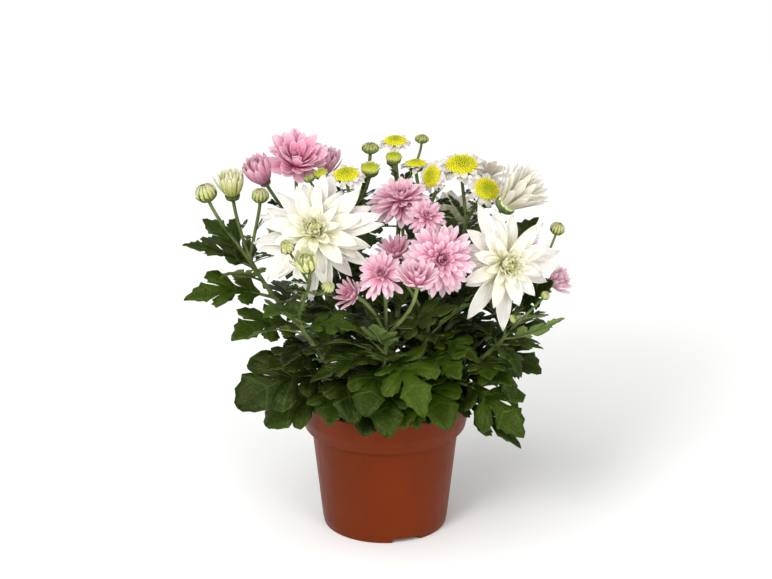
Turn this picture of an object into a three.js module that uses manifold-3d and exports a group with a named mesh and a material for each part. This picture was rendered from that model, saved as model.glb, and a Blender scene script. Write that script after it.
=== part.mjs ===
// Pot chrysanthemum: a 12 cm plastic pot with leafy stems that carry white, pink and button blooms.
// Millimetres, +Z up, the origin at the middle of the pot's foot, -Y is the front.

import * as THREE from 'three';
import { mergeVertices } from 'three/addons/utils/BufferGeometryUtils.js';
import Module from 'manifold-3d';

const wasm = await Module();
wasm.setup();

// ---------------------------------------------------------------- driving dimensions

const CLEAR = 0.3; // gap kept between two pieces that touch
const FINEST = 0.03; // shape detail smaller than this is smoothed away where bodies join

const POT = {
  height: 96,
  rimRadius: 60, // outside, at the lip
  rimFootRadius: 55.3, // outside, at the lower edge of the rim band
  rimHeight: 23.5,
  bodyRadius: 50.4, // outside, just under the rim band
  footRadius: 42, // outside, at the ground
  wall: 1.5,
  floor: 4.5, // top of the pot's floor
  padRadius: 15, // middle pad that touches the ground
  channelRadius: 37, // outer edge of the raised drain channel
  channelHeight: 2.6,
  notchHeight: 3,
  notchCentre: 20.6, // degrees to the right of the front
  notchWidth: 30, // degrees at the ground
  notchCount: 3,
  drainHoles: 4,
  drainRadius: 3,
  sides: 28,
};

const SOIL = { top: 89, mound: 3, clod: 1.1, rings: 3, sides: 20 };

const STEM = {
  buried: 27, // length of each stem that stands in the soil
  radius: 2.3,
  topRadius: 1.6,
  stalkRadius: 1.15,
  sides: 5,
  steps: 5,
  stalkSteps: 3,
};

const LEAF = {
  thick: 0.7,
  petioleWidth: 1.3, // half width of the leaf stalk
  petioleThick: 1.5,
  width: 0.62, // lateral scale, as a share of the leaf's length
  fold: 0.2, // rise of the two halves from the midrib
  length: 50,
};

// Half outline of a leaf as [share of the length, share of the lateral scale]: the top of the leaf
// stalk, a lobe, the cut between the lobes, the next lobe and the shoulder of the end lobe.
const LEAF_EDGE = [
  [0.27, 0.03],
  [0.42, 0.43],
  [0.52, 0.17],
  [0.69, 0.48],
  [0.78, 0.2],
];
const MIDRIB = [0.27, 0.52];

const GOLDEN_ANGLE = 137.5;
const SPACE = 8.5; // smallest distance between the sample points of two neighbours
const OWN_SPACE = 5; // the same between two leaves of one stem

// ---------------------------------------------------------------- colours

const COLOUR = {
  pot: 0x8a3a1f,
  soil: 0x2a1c12,
  leaf: 0x33501a,
  white: 0xf1ece0,
  pink: 0xe29cc0,
  deepPink: 0xcf6f9f,
  yellow: 0xdcd21e,
  withered: 0xcfc4a8,
};

// ---------------------------------------------------------------- the plant's layout

// Each flower: kind, base (where its stalk ends), azimuth (0 is the front, positive to the
// right), elevation, radius, and where its stalk leaves: `t` along the main stem, or along the
// stalk of the flower number `on`. Each leaf: `t` on the main stem, its tip, its roll about its
// own midrib, and its arch as a share of its length. `extra` leaves are placed by the rule below.
const STEMS = [
  {
    name: 'left_buds', foot: [-33, 3], fork: [-90, 3, 189], extra: 1, turn: 150,
    flowers: [
      {
        name: 'white_tip_bud', kind: 'half', colour: 'white',
        base: [-103, 15, 233], az: -40, el: 82, r: 15,
      },
      { kind: 'bud', base: [-119, 5, 234], az: -80, el: 72, r: 7.6, t: 0.96 },
      { kind: 'bud', base: [-84, 0, 235], az: 20, el: 82, r: 6 },
    ],
    leaves: [
      { t: 0.96, tip: [-136, -14, 209], roll: -15, arch: 0.06, width: 0.42 },
      { t: 0.88, tip: [-124, 26, 212], roll: -10, arch: 0.08 },
      { t: 0.74, tip: [-136, -12, 168], roll: -30, arch: 0.1, width: 0.52 },
      { t: 0.5, tip: [-103, -44, 152], roll: -25, arch: 0.12 },
    ],
  },
  {
    name: 'white_left', foot: [-24, -24], fork: [-57, -60, 172], extra: 0, turn: 0,
    flowers: [
      {
        name: 'white_left', kind: 'white', colour: 'white',
        base: [-46, -50, 230], az: -8, el: 40, r: 42,
      },
      {
        name: 'white_half_front', kind: 'half', colour: 'white',
        base: [-50, -101, 227], az: -25, el: 60, r: 12,
      },
      { kind: 'bud', base: [-63, -98, 239], az: -20, el: 50, r: 5.2, on: 1, t: 0.72 },
      { kind: 'bud', base: [-38, -106, 214], az: 30, el: 55, r: 4.4, on: 1, t: 0.6 },
    ],
    leaves: [
      { t: 0.3, tip: [-99, -58, 108], roll: -40, arch: 0.16, width: 0.6 },
      { t: 0.15, tip: [-81, -40, 87], roll: -30, arch: 0.12 },
      { t: 0.56, tip: [-80, -66, 140], roll: -20, arch: 0.1 },
      { t: 0.86, tip: [-80, -86, 186], roll: -10, arch: 0.2 },
      { t: 0.94, tip: [-18, -74, 172], roll: 25, arch: 0.1 },
      { t: 0.36, tip: [-21, -88, 110], roll: 0, arch: 0.22 },
    ],
  },
  {
    name: 'pink_back', foot: [-20, 20], fork: [-58, 26, 205], extra: 2, turn: 200,
    flowers: [
      {
        name: 'pink_back', kind: 'pink', colour: 'deepPink',
        base: [-60, 33, 247], az: 8, el: 64, r: 23,
      },
      {
        name: 'pink_half_left', kind: 'half', colour: 'deepPink',
        base: [-81, 22, 240], az: -60, el: 62, r: 13, t: 0.94,
      },
      {
        name: 'pink_half_right', kind: 'half', colour: 'deepPink',
        base: [-42, 60, 233], az: 60, el: 72, r: 12, t: 0.96,
      },
    ],
    leaves: [],
  },
  {
    name: 'button_left', foot: [-7, 13], fork: [-20, 14, 218], extra: 2, turn: 80,
    flowers: [
      { name: 'button_left', kind: 'button', base: [-26, 8, 249], az: -20, el: 78, r: 12 },
      {
        name: 'cup_left', kind: 'cup', colour: 'yellow',
        base: [-43, 11, 250], az: -40, el: 70, r: 5,
      },
      { kind: 'bud', base: [-50, 2, 248], az: -60, el: 70, r: 4, on: 1, t: 0.6 },
      {
        name: 'cup_middle', kind: 'cup', colour: 'yellow',
        base: [-10, 28, 247], az: 0, el: 80, r: 7,
      },
      { kind: 'bud', base: [-10, 48, 251], az: 10, el: 84, r: 6 },
    ],
    leaves: [],
  },
  {
    name: 'button_top', foot: [4, 27], fork: [10, 50, 214], extra: 2, turn: 20,
    flowers: [
      { name: 'button_top', kind: 'button', base: [7, 62, 253], az: 0, el: 86, r: 10.5 },
      { name: 'cup_top', kind: 'cup', colour: 'yellow', base: [6, 42, 250], az: -10, el: 80, r: 6 },
      { kind: 'bud', base: [25, 60, 254], az: 30, el: 84, r: 4.8 },
    ],
    leaves: [],
  },
  {
    name: 'button_middle', foot: [14, 10], fork: [28, 26, 214], extra: 1, turn: 260,
    flowers: [
      { name: 'button_middle', kind: 'button', base: [21, 44, 243], az: 180, el: 84, r: 10 },
      { name: 'button_side', kind: 'button', base: [33, 22, 244], az: -48, el: 26, r: 10.5 },
    ],
    leaves: [],
  },
  {
    name: 'button_right', foot: [30, 14], fork: [55, 28, 207], extra: 2, turn: 110,
    flowers: [
      { name: 'button_big', kind: 'button', base: [52, 34, 246], az: 0, el: 74, r: 15 },
      { name: 'button_face', kind: 'button', base: [68, 14, 237], az: 25, el: 48, r: 12 },
      {
        name: 'withered', kind: 'withered', colour: 'withered',
        base: [70, 56, 230], az: 40, el: 78, r: 15,
      },
    ],
    leaves: [],
  },
  {
    name: 'pink_top', foot: [2, -6], fork: [13, -14, 196], extra: 2, turn: 300,
    flowers: [
      {
        name: 'pink_top', kind: 'pink', colour: 'pink',
        base: [11, -1, 233], az: -5, el: 76, r: 24,
      },
      {
        name: 'pink_top_right', kind: 'pink', colour: 'pink',
        base: [27, -41, 238], az: 18, el: 50, r: 15.5,
      },
    ],
    leaves: [],
  },
  {
    name: 'pink_front', foot: [-2, -30], fork: [1, -60, 158], extra: 0, turn: 0,
    flowers: [
      {
        name: 'pink_low', kind: 'pink', colour: 'pink',
        base: [-2, -84, 215], az: -8, el: 38, r: 18,
      },
      {
        name: 'pink_bud', kind: 'half', colour: 'pink',
        base: [-20, -80, 199], az: -50, el: 32, r: 11, t: 0.97,
      },
      {
        name: 'pink_half_front', kind: 'half', colour: 'pink',
        base: [21, -109, 219], az: 5, el: 78, r: 17,
      },
    ],
    leaves: [
      { t: 0.84, tip: [-50, -78, 136], roll: -20, arch: 0.08, width: 0.42 },
      { t: 0.97, tip: [-7, -90, 183], roll: 0, arch: -0.1 },
      { t: 0.48, tip: [-13, -92, 117], roll: -5, arch: 0.25 },
      { t: 0.24, tip: [2, -86, 99], roll: 5, arch: 0.3 },
      { t: 0.12, tip: [-14, -77, 96], roll: -15, arch: 0.2 },
      { t: 0.62, tip: [26, -105, 122], roll: 22, arch: 0.25, width: 0.66 },
      { t: 0.93, tip: [48, -74, 189], roll: 30, arch: 0.08, width: 0.45 },
    ],
  },
  {
    name: 'pink_big', foot: [17, -24], fork: [29, -44, 162], extra: 0, turn: 340,
    flowers: [
      {
        name: 'pink_big', kind: 'pink', colour: 'pink',
        base: [36, -58, 216], az: 15, el: 20, r: 26,
      },
      {
        name: 'pink_half_middle', kind: 'half', colour: 'pink',
        base: [7, -44, 213], az: -10, el: 68, r: 13,
      },
    ],
    leaves: [
      { t: 0.62, tip: [50, -80, 139], roll: 20, arch: 0.12 },
      { t: 0.84, tip: [64, -58, 141], roll: 20, arch: 0.12 },
      { t: 0.2, tip: [42, -78, 101], roll: 10, arch: 0.25 },
      { t: 0.1, tip: [21, -79, 102], roll: 0, arch: 0.2 },
    ],
  },
  {
    name: 'white_right', foot: [36, -16], fork: [80, -44, 154], extra: 0, turn: 0,
    flowers: [
      {
        name: 'white_right', kind: 'white', colour: 'white',
        base: [78, -39, 206], az: 22, el: 15, r: 40,
      },
      { kind: 'bud', base: [106, -44, 183], az: 50, el: 50, r: 3.2 },
      { kind: 'bud', base: [87, -62, 176], az: -70, el: -20, r: 2.8 },
    ],
    leaves: [
      { t: 0.34, tip: [93, -66, 90], roll: 38, arch: 0.12, width: 0.58 },
      { t: 0.2, tip: [92, -54, 77], roll: 30, arch: 0.06, width: 0.4 },
      { t: 0.9, tip: [107, -38, 143], roll: 12, arch: 0.08, width: 0.4 },
      { t: 0.66, tip: [90, -50, 96], roll: 60, arch: 0.42, width: 0.5 },
      { t: 0.52, tip: [84, -66, 128], roll: 10, arch: 0.1 },
      { t: 0.98, tip: [120, -46, 169], roll: -50, arch: -0.05, width: 0.45 },
    ],
  },
  {
    name: 'pink_right', foot: [38, 6], fork: [92, -4, 160], extra: 1, turn: 60,
    flowers: [
      {
        name: 'pink_bud_right', kind: 'half', colour: 'pink',
        base: [112, -6, 178], az: 70, el: 24, r: 12,
      },
      { kind: 'bud', base: [116, 12, 207], az: 60, el: 74, r: 5.2 },
    ],
    leaves: [
      { t: 0.5, tip: [106, -20, 117], roll: 50, arch: 0.12 },
      { t: 0.92, tip: [113, -24, 186], roll: 60, arch: 0 },
    ],
  },
  {
    name: 'white_half', foot: [24, -2], fork: [66, -6, 190], extra: 1, turn: 30,
    flowers: [
      {
        name: 'white_half', kind: 'half', colour: 'white',
        base: [81, 0, 232], az: 78, el: 48, r: 31,
      },
    ],
    leaves: [
      { t: 0.94, tip: [104, 14, 218], roll: 20, arch: 0 },
      { t: 0.9, tip: [62, -24, 226], roll: 20, arch: 0 },
    ],
  },
  {
    name: 'back_left', foot: [-14, 40], fork: [-36, 66, 165], extra: 4, turn: 180,
    flowers: [
      {
        name: 'pink_back_left', kind: 'pink', colour: 'pink',
        base: [-44, 80, 190], az: 200, el: 42, r: 22,
      },
      { name: 'button_back', kind: 'button', base: [-10, 92, 194], az: 180, el: 52, r: 12 },
      { kind: 'bud', base: [-74, 66, 186], az: 240, el: 60, r: 6 },
    ],
    leaves: [],
  },
  {
    name: 'back_right', foot: [18, 40], fork: [46, 66, 160], extra: 4, turn: 40,
    flowers: [
      {
        name: 'white_back', kind: 'white', colour: 'white',
        base: [44, 84, 186], az: 170, el: 36, r: 33,
      },
      {
        name: 'pink_back_right', kind: 'pink', colour: 'pink',
        base: [92, 56, 182], az: 125, el: 45, r: 20,
      },
    ],
    leaves: [],
  },
];

// Petal layers of each kind: count, length and width as shares of the radius, the angle over
// the bloom's own plane at the root, how far the petal bends outwards, a turn of the layer, and
// the stations along the petal. Petals of one layer stand side by side and don't cross.
const PETALS = {
  white: [
    { count: 10, length: 1, width: 0.29, rise: 14, bend: 20, turn: 0, stations: [0.62] },
    { count: 8, length: 0.8, width: 0.24, rise: 37, bend: 22, turn: 19, stations: [0.55] },
    { count: 4, length: 0.5, width: 0.2, rise: 64, bend: 10, turn: 5, stations: [0.55] },
  ],
  pink: [
    { count: 10, length: 1, width: 0.3, rise: 6, bend: 14, turn: 0, stations: [0.65] },
    { count: 7, length: 0.78, width: 0.27, rise: 34, bend: 14, turn: 16, stations: [0.6] },
    { count: 3, length: 0.5, width: 0.24, rise: 62, bend: 0, turn: 5, stations: [0.6] },
  ],
};

// A bloom that is still cup-shaped: reach and height, as shares of the radius, of its foot,
// its waist, its petal tips, the cuts between them and the bottom of the cup inside.
const CROWN = {
  half: {
    foot: 0.2, waist: [0.4, 0.42], tip: [0.5, 1], cut: [0.42, 0.6], inside: [0.26, 0.5], middle: 0.86,
  },
  withered: {
    foot: 0.2, waist: [0.3, 0.3], tip: [0.95, 0.42], cut: [0.4, 0.4], inside: [0.25, 0.42], middle: 0.5,
  },
  petals: 6,
  thick: 0.8,
};
const RAYS = { count: 9, flat: 0.52, waist: 0.56, plate: 1.3, droop: 0.14 };
const DISC = { radius: 0.7, height: 0.42, sides: 5 };
const CORE = { white: 0.17, pink: 0.2, sides: 7 };

// ---------------------------------------------------------------- vectors and curves

const UP = new THREE.Vector3(0, 0, 1);

function vector(list) {
  return new THREE.Vector3(list[0], list[1], list[2]);
}

function direction(azimuth, elevation) {
  const a = THREE.MathUtils.degToRad(azimuth);
  const e = THREE.MathUtils.degToRad(elevation);
  return new THREE.Vector3(Math.sin(a) * Math.cos(e), -Math.cos(a) * Math.cos(e), Math.sin(e));
}

function along(point, axis, distance) {
  return point.clone().addScaledVector(axis, distance);
}

// Two unit vectors square to an axis.
function squareTo(axis) {
  const guide = Math.abs(axis.z) < 0.8 ? UP : new THREE.Vector3(0, 1, 0);
  const side = new THREE.Vector3().crossVectors(guide, axis).normalize();
  const other = new THREE.Vector3().crossVectors(axis, side).normalize();
  return [side, other];
}

// A main stem: straight up out of the soil, then leaning over to its fork.
function mainCurve(stem) {
  const start = new THREE.Vector3(stem.foot[0], stem.foot[1], SOIL.top + 5);
  const end = vector(stem.fork);
  const rise = end.z - start.z;
  const first = along(start, UP, 0.3 * rise);
  const lean = new THREE.Vector3((end.x - start.x) * 0.25, (end.y - start.y) * 0.25, 0.35 * rise);
  const second = end.clone().sub(lean);
  return new THREE.CubicBezierCurve3(start, first, second, end);
}

// A flower stalk: leaves its parent along the parent's own run, arrives along the flower's axis.
function stalkCurve(parent, t, flower) {
  const start = parent.getPoint(t);
  const end = vector(flower.base);
  const reach = start.distanceTo(end);
  const first = along(start, parent.getTangent(t), 0.15 * reach);
  const axis = direction(flower.az, flower.el);
  const second = along(end, axis, -Math.min(0.4 * reach, 1.1 * flower.r + 8));
  return new THREE.CubicBezierCurve3(start, first, second, end);
}

function leafPath(root, tip, arch) {
  const size = root.distanceTo(tip);
  const middle = root.clone().add(tip).multiplyScalar(0.5);
  middle.z += arch * size * 2;
  return new THREE.QuadraticBezierCurve3(root, middle, tip);
}

// ---------------------------------------------------------------- closed solids

function toSolid(geometry) {
  const bare = geometry.clone();
  bare.deleteAttribute('normal');
  bare.deleteAttribute('uv');
  const merged = mergeVertices(bare, 1e-4);
  return new wasm.Manifold(new wasm.Mesh({
    numProp: 3,
    vertProperties: new Float32Array(merged.attributes.position.array),
    triVerts: new Uint32Array(merged.index.array),
  }));
}

function toGeometry(solid) {
  const mesh = solid.getMesh();
  const geometry = new THREE.BufferGeometry();
  geometry.setAttribute('position', new THREE.BufferAttribute(mesh.vertProperties, 3));
  geometry.setIndex(new THREE.BufferAttribute(mesh.triVerts, 1));
  geometry.computeVertexNormals();
  return geometry;
}

// A solid from points and triangles, turned the right way out.
function solidFrom(points, triangles) {
  let volume = 0;
  for (const [a, b, c] of triangles) {
    const normal = new THREE.Vector3().crossVectors(points[b], points[c]);
    volume += points[a].dot(normal);
  }
  const faces = volume > 0 ? triangles : triangles.map(([a, b, c]) => [a, c, b]);
  return new wasm.Manifold(new wasm.Mesh({
    numProp: 3,
    vertProperties: new Float32Array(points.flatMap((p) => [p.x, p.y, p.z])),
    triVerts: new Uint32Array(faces.flat()),
  }));
}

// Rings of points joined in order, capped flat at both ends. The first and the last ring may
// each be a single point.
function loft(rings) {
  const points = rings.flat();
  const triangles = [];
  let low = 0;
  for (let r = 0; r + 1 < rings.length; r += 1) {
    const here = rings[r].length;
    const there = rings[r + 1].length;
    const high = low + here;
    const count = Math.max(here, there);
    for (let i = 0; i < count; i += 1) {
      const next = (i + 1) % count;
      if (here === 1) {
        triangles.push([low, high + next, high + i]);
      } else if (there === 1) {
        triangles.push([low + i, low + next, high]);
      } else {
        triangles.push([low + i, low + next, high + next]);
        triangles.push([low + i, high + next, high + i]);
      }
    }
    low = high;
  }
  for (let i = 1; i + 1 < rings[0].length; i += 1) {
    triangles.push([0, i + 1, i]);
  }
  for (let i = 1; i + 1 < rings[rings.length - 1].length; i += 1) {
    triangles.push([low, low + i, low + i + 1]);
  }
  return solidFrom(points, triangles);
}

function circle(centre, axis, radius, sides, turn = 0) {
  const [side, other] = squareTo(axis);
  const ring = [];
  for (let i = 0; i < sides; i += 1) {
    const angle = ((i + turn) / sides) * Math.PI * 2;
    const point = along(centre, side, radius * Math.cos(angle));
    ring.push(point.addScaledVector(other, radius * Math.sin(angle)));
  }
  return ring;
}

// The rings of a round tube along a line. One guide keeps them from twisting.
function tubeRings(points, radii, sides) {
  const chord = points[points.length - 1].clone().sub(points[0]).normalize();
  const [guide] = squareTo(chord);
  return points.map((point, i) => {
    const before = points[Math.max(i - 1, 0)];
    const after = points[Math.min(i + 1, points.length - 1)];
    const run = after.clone().sub(before).normalize();
    const other = new THREE.Vector3().crossVectors(run, guide).normalize();
    const side = new THREE.Vector3().crossVectors(other, run);
    const ring = [];
    for (let k = 0; k < sides; k += 1) {
      const angle = (k / sides) * Math.PI * 2;
      const corner = along(point, side, radii[i] * Math.cos(angle));
      ring.push(corner.addScaledVector(other, radii[i] * Math.sin(angle)));
    }
    return ring;
  });
}

// One body from many. A scrap cut loose or a hollow sealed by the joining is left out.
function joinAll(solids) {
  const whole = solids.reduce((sum, next) => sum.add(next)).asOriginal().simplify(FINEST);
  const pieces = whole.decompose();
  return pieces.reduce((largest, piece) => (piece.volume() > largest.volume() ? piece : largest));
}

// ---------------------------------------------------------------- pot and soil

function lathe(profile, sides) {
  const outline = profile.map(([r, z]) => new THREE.Vector2(r, z));
  const geometry = new THREE.LatheGeometry(outline, sides);
  geometry.rotateX(Math.PI / 2);
  return toSolid(geometry);
}

function potSolid() {
  const p = POT;
  const rimLow = p.height - p.rimHeight;
  const crease = p.height - p.rimHeight * 0.66;
  const creaseRadius = p.rimFootRadius + (p.rimRadius - p.rimFootRadius) * 0.34;
  const profile = [
    [0, 0],
    [p.padRadius, 0],
    [p.padRadius + 1.5, p.channelHeight],
    [p.channelRadius, p.channelHeight],
    [p.channelRadius + 1, 0],
    [p.footRadius - 0.6, 0],
    [p.footRadius, 0.8],
    [p.footRadius + 0.5, 4],
    [p.bodyRadius, rimLow],
    [p.rimFootRadius, rimLow],
    [creaseRadius, crease],
    [p.rimRadius, p.height - 0.6],
    [p.rimRadius - 0.7, p.height],
    [p.rimRadius - p.wall, p.height - 0.6],
    [p.rimFootRadius - p.wall, rimLow + p.wall],
    [p.bodyRadius - p.wall, rimLow + p.wall],
    [p.footRadius - p.wall, p.floor],
    [0, p.floor],
  ];
  let pot = lathe(profile, p.sides);
  for (let i = 0; i < p.notchCount; i += 1) {
    pot = pot.subtract(notchSolid(p.notchCentre + (i * 360) / p.notchCount));
  }
  for (let i = 0; i < p.drainHoles; i += 1) {
    const angle = THREE.MathUtils.degToRad((i * 360) / p.drainHoles);
    const reach = (p.padRadius + p.channelRadius) / 2;
    const hole = new THREE.CylinderGeometry(p.drainRadius, p.drainRadius, 10, 8);
    hole.rotateX(Math.PI / 2);
    hole.translate(reach * Math.cos(angle), reach * Math.sin(angle), p.floor / 2);
    pot = pot.subtract(toSolid(hole));
  }
  return pot;
}

// A trapezoid notch through the foot ring, wider at the ground.
function notchSolid(azimuth) {
  const inner = POT.channelRadius - 1;
  const outer = POT.footRadius + 2;
  const half = (POT.notchWidth / 2) * (Math.PI / 180) * POT.footRadius;
  const out = direction(azimuth, 0);
  const side = new THREE.Vector3(-out.y, out.x, 0);
  const top = half * 0.82;
  const corners = [[-half, -1], [half, -1], [top, POT.notchHeight], [-top, POT.notchHeight]];
  const ring = (reach) => corners.map(([x, z]) => {
    const middle = out.clone().multiplyScalar(reach);
    return along(along(middle, side, x), UP, z);
  });
  return loft([ring(inner - 2), ring(outer)]);
}

function soilHeight(x, y) {
  const reach = Math.hypot(x, y) / POT.rimFootRadius;
  const lumps = Math.sin(x * 0.43 + 1.3) * Math.sin(y * 0.39 + 0.4) + 0.5 * Math.sin(x * 0.9 - y * 0.8);
  return SOIL.top + SOIL.mound * (1 - reach * reach) + SOIL.clod * lumps;
}

function soilSolid() {
  const gap = POT.wall + CLEAR + 0.2;
  const rimLow = POT.height - POT.rimHeight;
  const slope = (POT.rimRadius - POT.rimFootRadius) / POT.rimHeight;
  const edge = POT.rimFootRadius - gap + slope * (SOIL.top - 3 - rimLow);
  const walls = [
    [POT.footRadius - gap, POT.floor + CLEAR],
    [POT.bodyRadius - gap, rimLow + POT.wall + CLEAR],
    [POT.rimFootRadius - gap, rimLow + POT.wall + CLEAR],
  ];
  const flat = (radius, z) => circle(new THREE.Vector3(0, 0, z), UP, radius, SOIL.sides);
  const rings = walls.map(([radius, z]) => flat(radius, z));
  for (let i = 0; i < SOIL.rings; i += 1) {
    const radius = edge * (1 - i / SOIL.rings);
    const ring = flat(radius, 0);
    ring.forEach((point) => {
      point.z = soilHeight(point.x, point.y);
    });
    rings.push(ring);
  }
  rings.push([new THREE.Vector3(0, 0, soilHeight(0, 0))]);
  let soil = loft(rings);
  for (const stem of STEMS) {
    const depth = SOIL.top - STEM.buried - CLEAR;
    const radius = STEM.radius + CLEAR + 0.4;
    const hole = new THREE.CylinderGeometry(radius, radius, 60, 6);
    hole.rotateX(Math.PI / 2);
    hole.translate(stem.foot[0], stem.foot[1], depth + 30);
    soil = soil.subtract(toSolid(hole));
  }
  return soil;
}

// ---------------------------------------------------------------- leaves

// The leaf's own frame at a share u of its length: point, lateral direction and upward normal.
function leafFrame(leaf, u) {
  const point = leaf.path.getPoint(u);
  const run = leaf.path.getTangent(u);
  const level = new THREE.Vector3().crossVectors(run, UP).normalize();
  const side = level.applyAxisAngle(run, THREE.MathUtils.degToRad(leaf.roll));
  const normal = new THREE.Vector3().crossVectors(side, run);
  return { point, side, normal };
}

function leafPoint(leaf, u, lateral) {
  const { point, side, normal } = leafFrame(leaf, u);
  const reach = lateral * leaf.size * leaf.width;
  return along(along(point, side, reach), normal, Math.abs(reach) * LEAF.fold);
}

function leafSolid(leaf) {
  const stalk = LEAF.petioleWidth / (leaf.size * leaf.width);
  const top = [];
  const bottom = [];
  const put = (u, lateral, thick) => {
    const upper = leafPoint(leaf, u, lateral);
    top.push(upper);
    bottom.push(along(upper, leafFrame(leaf, u).normal, -thick));
    return top.length - 1;
  };
  const rib = MIDRIB.map((u) => put(u, 0, u === MIDRIB[0] ? LEAF.petioleThick : LEAF.thick));
  const tip = put(1, 0, LEAF.thick);
  const faces = [];
  const sides = [1, -1].map((sign) => {
    const root = put(0, sign * stalk, LEAF.petioleThick);
    const edge = LEAF_EDGE.map(([u, w], i) => {
      const first = i === 0;
      return put(u, sign * (first ? stalk : w), first ? LEAF.petioleThick : LEAF.thick);
    });
    const fan = (centre, list) => {
      for (let i = 0; i + 1 < list.length; i += 1) {
        faces.push(sign > 0 ? [centre, list[i], list[i + 1]] : [centre, list[i + 1], list[i]]);
      }
    };
    fan(rib[0], [root, edge[0]]);
    fan(rib[1], [rib[0], edge[0], edge[1], edge[2], edge[3], edge[4], tip]);
    return [root, ...edge];
  });
  faces.push([rib[0], sides[1][0], sides[0][0]]);
  const rim = [...sides[0], tip, ...sides[1].slice().reverse()];
  const count = top.length;
  const triangles = [...faces, ...faces.map(([a, b, c]) => [a + count, c + count, b + count])];
  for (let i = 0; i < rim.length; i += 1) {
    const a = rim[i];
    const b = rim[(i + 1) % rim.length];
    triangles.push([b, a, a + count]);
    triangles.push([b, a + count, b + count]);
  }
  return solidFrom([...top, ...bottom], triangles);
}

// Points spread over a leaf, used to keep it clear of its neighbours.
function leafSamples(leaf) {
  const samples = [0.34, 0.47, 0.6, 0.73, 0.86, 1].map((u) => leafPoint(leaf, u, 0));
  for (const u of [0.43, 0.56, 0.69]) {
    samples.push(leafPoint(leaf, u, 0.34));
    samples.push(leafPoint(leaf, u, -0.34));
  }
  return samples;
}

function makeLeaf(stem, t, tip, roll, arch, width = LEAF.width) {
  const root = stem.curve.getPoint(t);
  const size = root.distanceTo(tip);
  const leaf = { path: leafPath(root, tip, arch), roll, width, size };
  leaf.samples = leafSamples(leaf);
  return leaf;
}

// ---------------------------------------------------------------- layout of the whole plant

function bloomSamples(flower) {
  const axis = direction(flower.az, flower.el);
  const [side, other] = squareTo(axis);
  const base = vector(flower.base);
  const closed = ['half', 'bud', 'cup'].includes(flower.kind);
  const samples = [base.clone(), along(base, axis, flower.r * (closed ? 1 : 0.4))];
  for (const share of closed ? [0.4] : [0.5, 0.95]) {
    const count = share > 0.6 ? 12 : 6;
    for (let i = 0; i < count; i += 1) {
      const angle = (i / count) * Math.PI * 2;
      const lift = along(base, axis, flower.r * (closed ? 0.6 : 0.25 * share));
      const point = along(lift, side, flower.r * share * Math.cos(angle));
      samples.push(point.addScaledVector(other, flower.r * share * Math.sin(angle)));
    }
  }
  return samples;
}

function curveSamples(curve, step) {
  const count = Math.max(2, Math.round(curve.getPoint(0).distanceTo(curve.getPoint(1)) / step));
  const samples = [];
  for (let i = 0; i <= count; i += 1) {
    samples.push(curve.getPoint(i / count));
  }
  return samples;
}

function isClear(samples, taken, owner) {
  return taken.every((item) => {
    if (item.stemOf === owner) {
      return true;
    }
    const limit = item.leafOf === owner ? OWN_SPACE : SPACE;
    return item.points.every((p) => samples.every((q) => p.distanceTo(q) >= limit));
  });
}

// Tries a leaf at its golden-angle place, then beside it, shorter, and lower or higher.
function placeLeaf(stem, index, taken) {
  const share = (index + 0.5) / stem.extra;
  const t = 0.25 + 0.7 * share;
  const azimuth = stem.turn + index * GOLDEN_ANGLE;
  const root = stem.curve.getPoint(t);
  for (const size of [1, 0.84, 0.7]) {
    for (const lift of [8, 26, -12]) {
      for (const turn of [0, 20, -20, 40, -40, 60, -60, 85, -85, 110, -110]) {
        const reach = LEAF.length * size * (1.12 - 0.3 * share);
        const tip = along(root, direction(azimuth + turn, lift), reach);
        const leaf = makeLeaf(stem, t, tip, 0, 0.1);
        if (isClear(leaf.samples, taken, stem.name)) {
          return leaf;
        }
      }
    }
  }
  return null;
}

function layOut() {
  const taken = [];
  for (const stem of STEMS) {
    stem.curve = mainCurve(stem);
    taken.push({ stemOf: stem.name, points: curveSamples(stem.curve, 7) });
    for (const flower of stem.flowers) {
      const parent = flower.on === undefined ? stem.curve : stem.flowers[flower.on].curve;
      flower.curve = stalkCurve(parent, flower.t ?? 1, flower);
      taken.push({ stemOf: stem.name, points: curveSamples(flower.curve, 7).slice(1) });
      taken.push({ points: bloomSamples(flower) });
    }
    stem.blades = stem.leaves.map((leaf) => {
      const { t, tip, roll, arch, width } = leaf;
      return makeLeaf(stem, t, vector(tip), roll, arch, width);
    });
    stem.blades.forEach((leaf) => taken.push({ leafOf: stem.name, points: leaf.samples }));
  }
  for (const stem of STEMS) {
    for (let i = 0; i < stem.extra; i += 1) {
      const leaf = placeLeaf(stem, i, taken);
      if (leaf) {
        stem.blades.push(leaf);
        taken.push({ leafOf: stem.name, points: leaf.samples });
      }
    }
  }
}

// ---------------------------------------------------------------- stems

function curvePoints(curve, steps) {
  const points = [];
  for (let i = 0; i <= steps; i += 1) {
    points.push(curve.getPoint(i / steps));
  }
  return points;
}

// Radius of the flat top of the cup that a flower's petals sit on.
function cupRadius(flower) {
  if (flower.kind === 'button') {
    return flower.r * 0.5;
  }
  if (flower.kind === 'cup') {
    return flower.r * 0.8;
  }
  if (CROWN[flower.kind]) {
    return flower.r * CROWN[flower.kind].foot + 0.4;
  }
  return flower.r * CORE[flower.kind] + 0.6;
}

// What a stalk widens into along the flower's axis, as [height, radius] in millimetres: the green
// cup under the petals, flat on top, or a closed bud with a pointed end.
function headProfile(flower) {
  if (flower.kind === 'bud') {
    const r = flower.r;
    return [[0, 0.55 * r], [0.55 * r, r], [1.3 * r, 0.8 * r], [1.85 * r, 0]];
  }
  const wide = cupRadius(flower);
  return [[-0.55 * wide, 0.9 * wide], [0, wide]];
}

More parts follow.
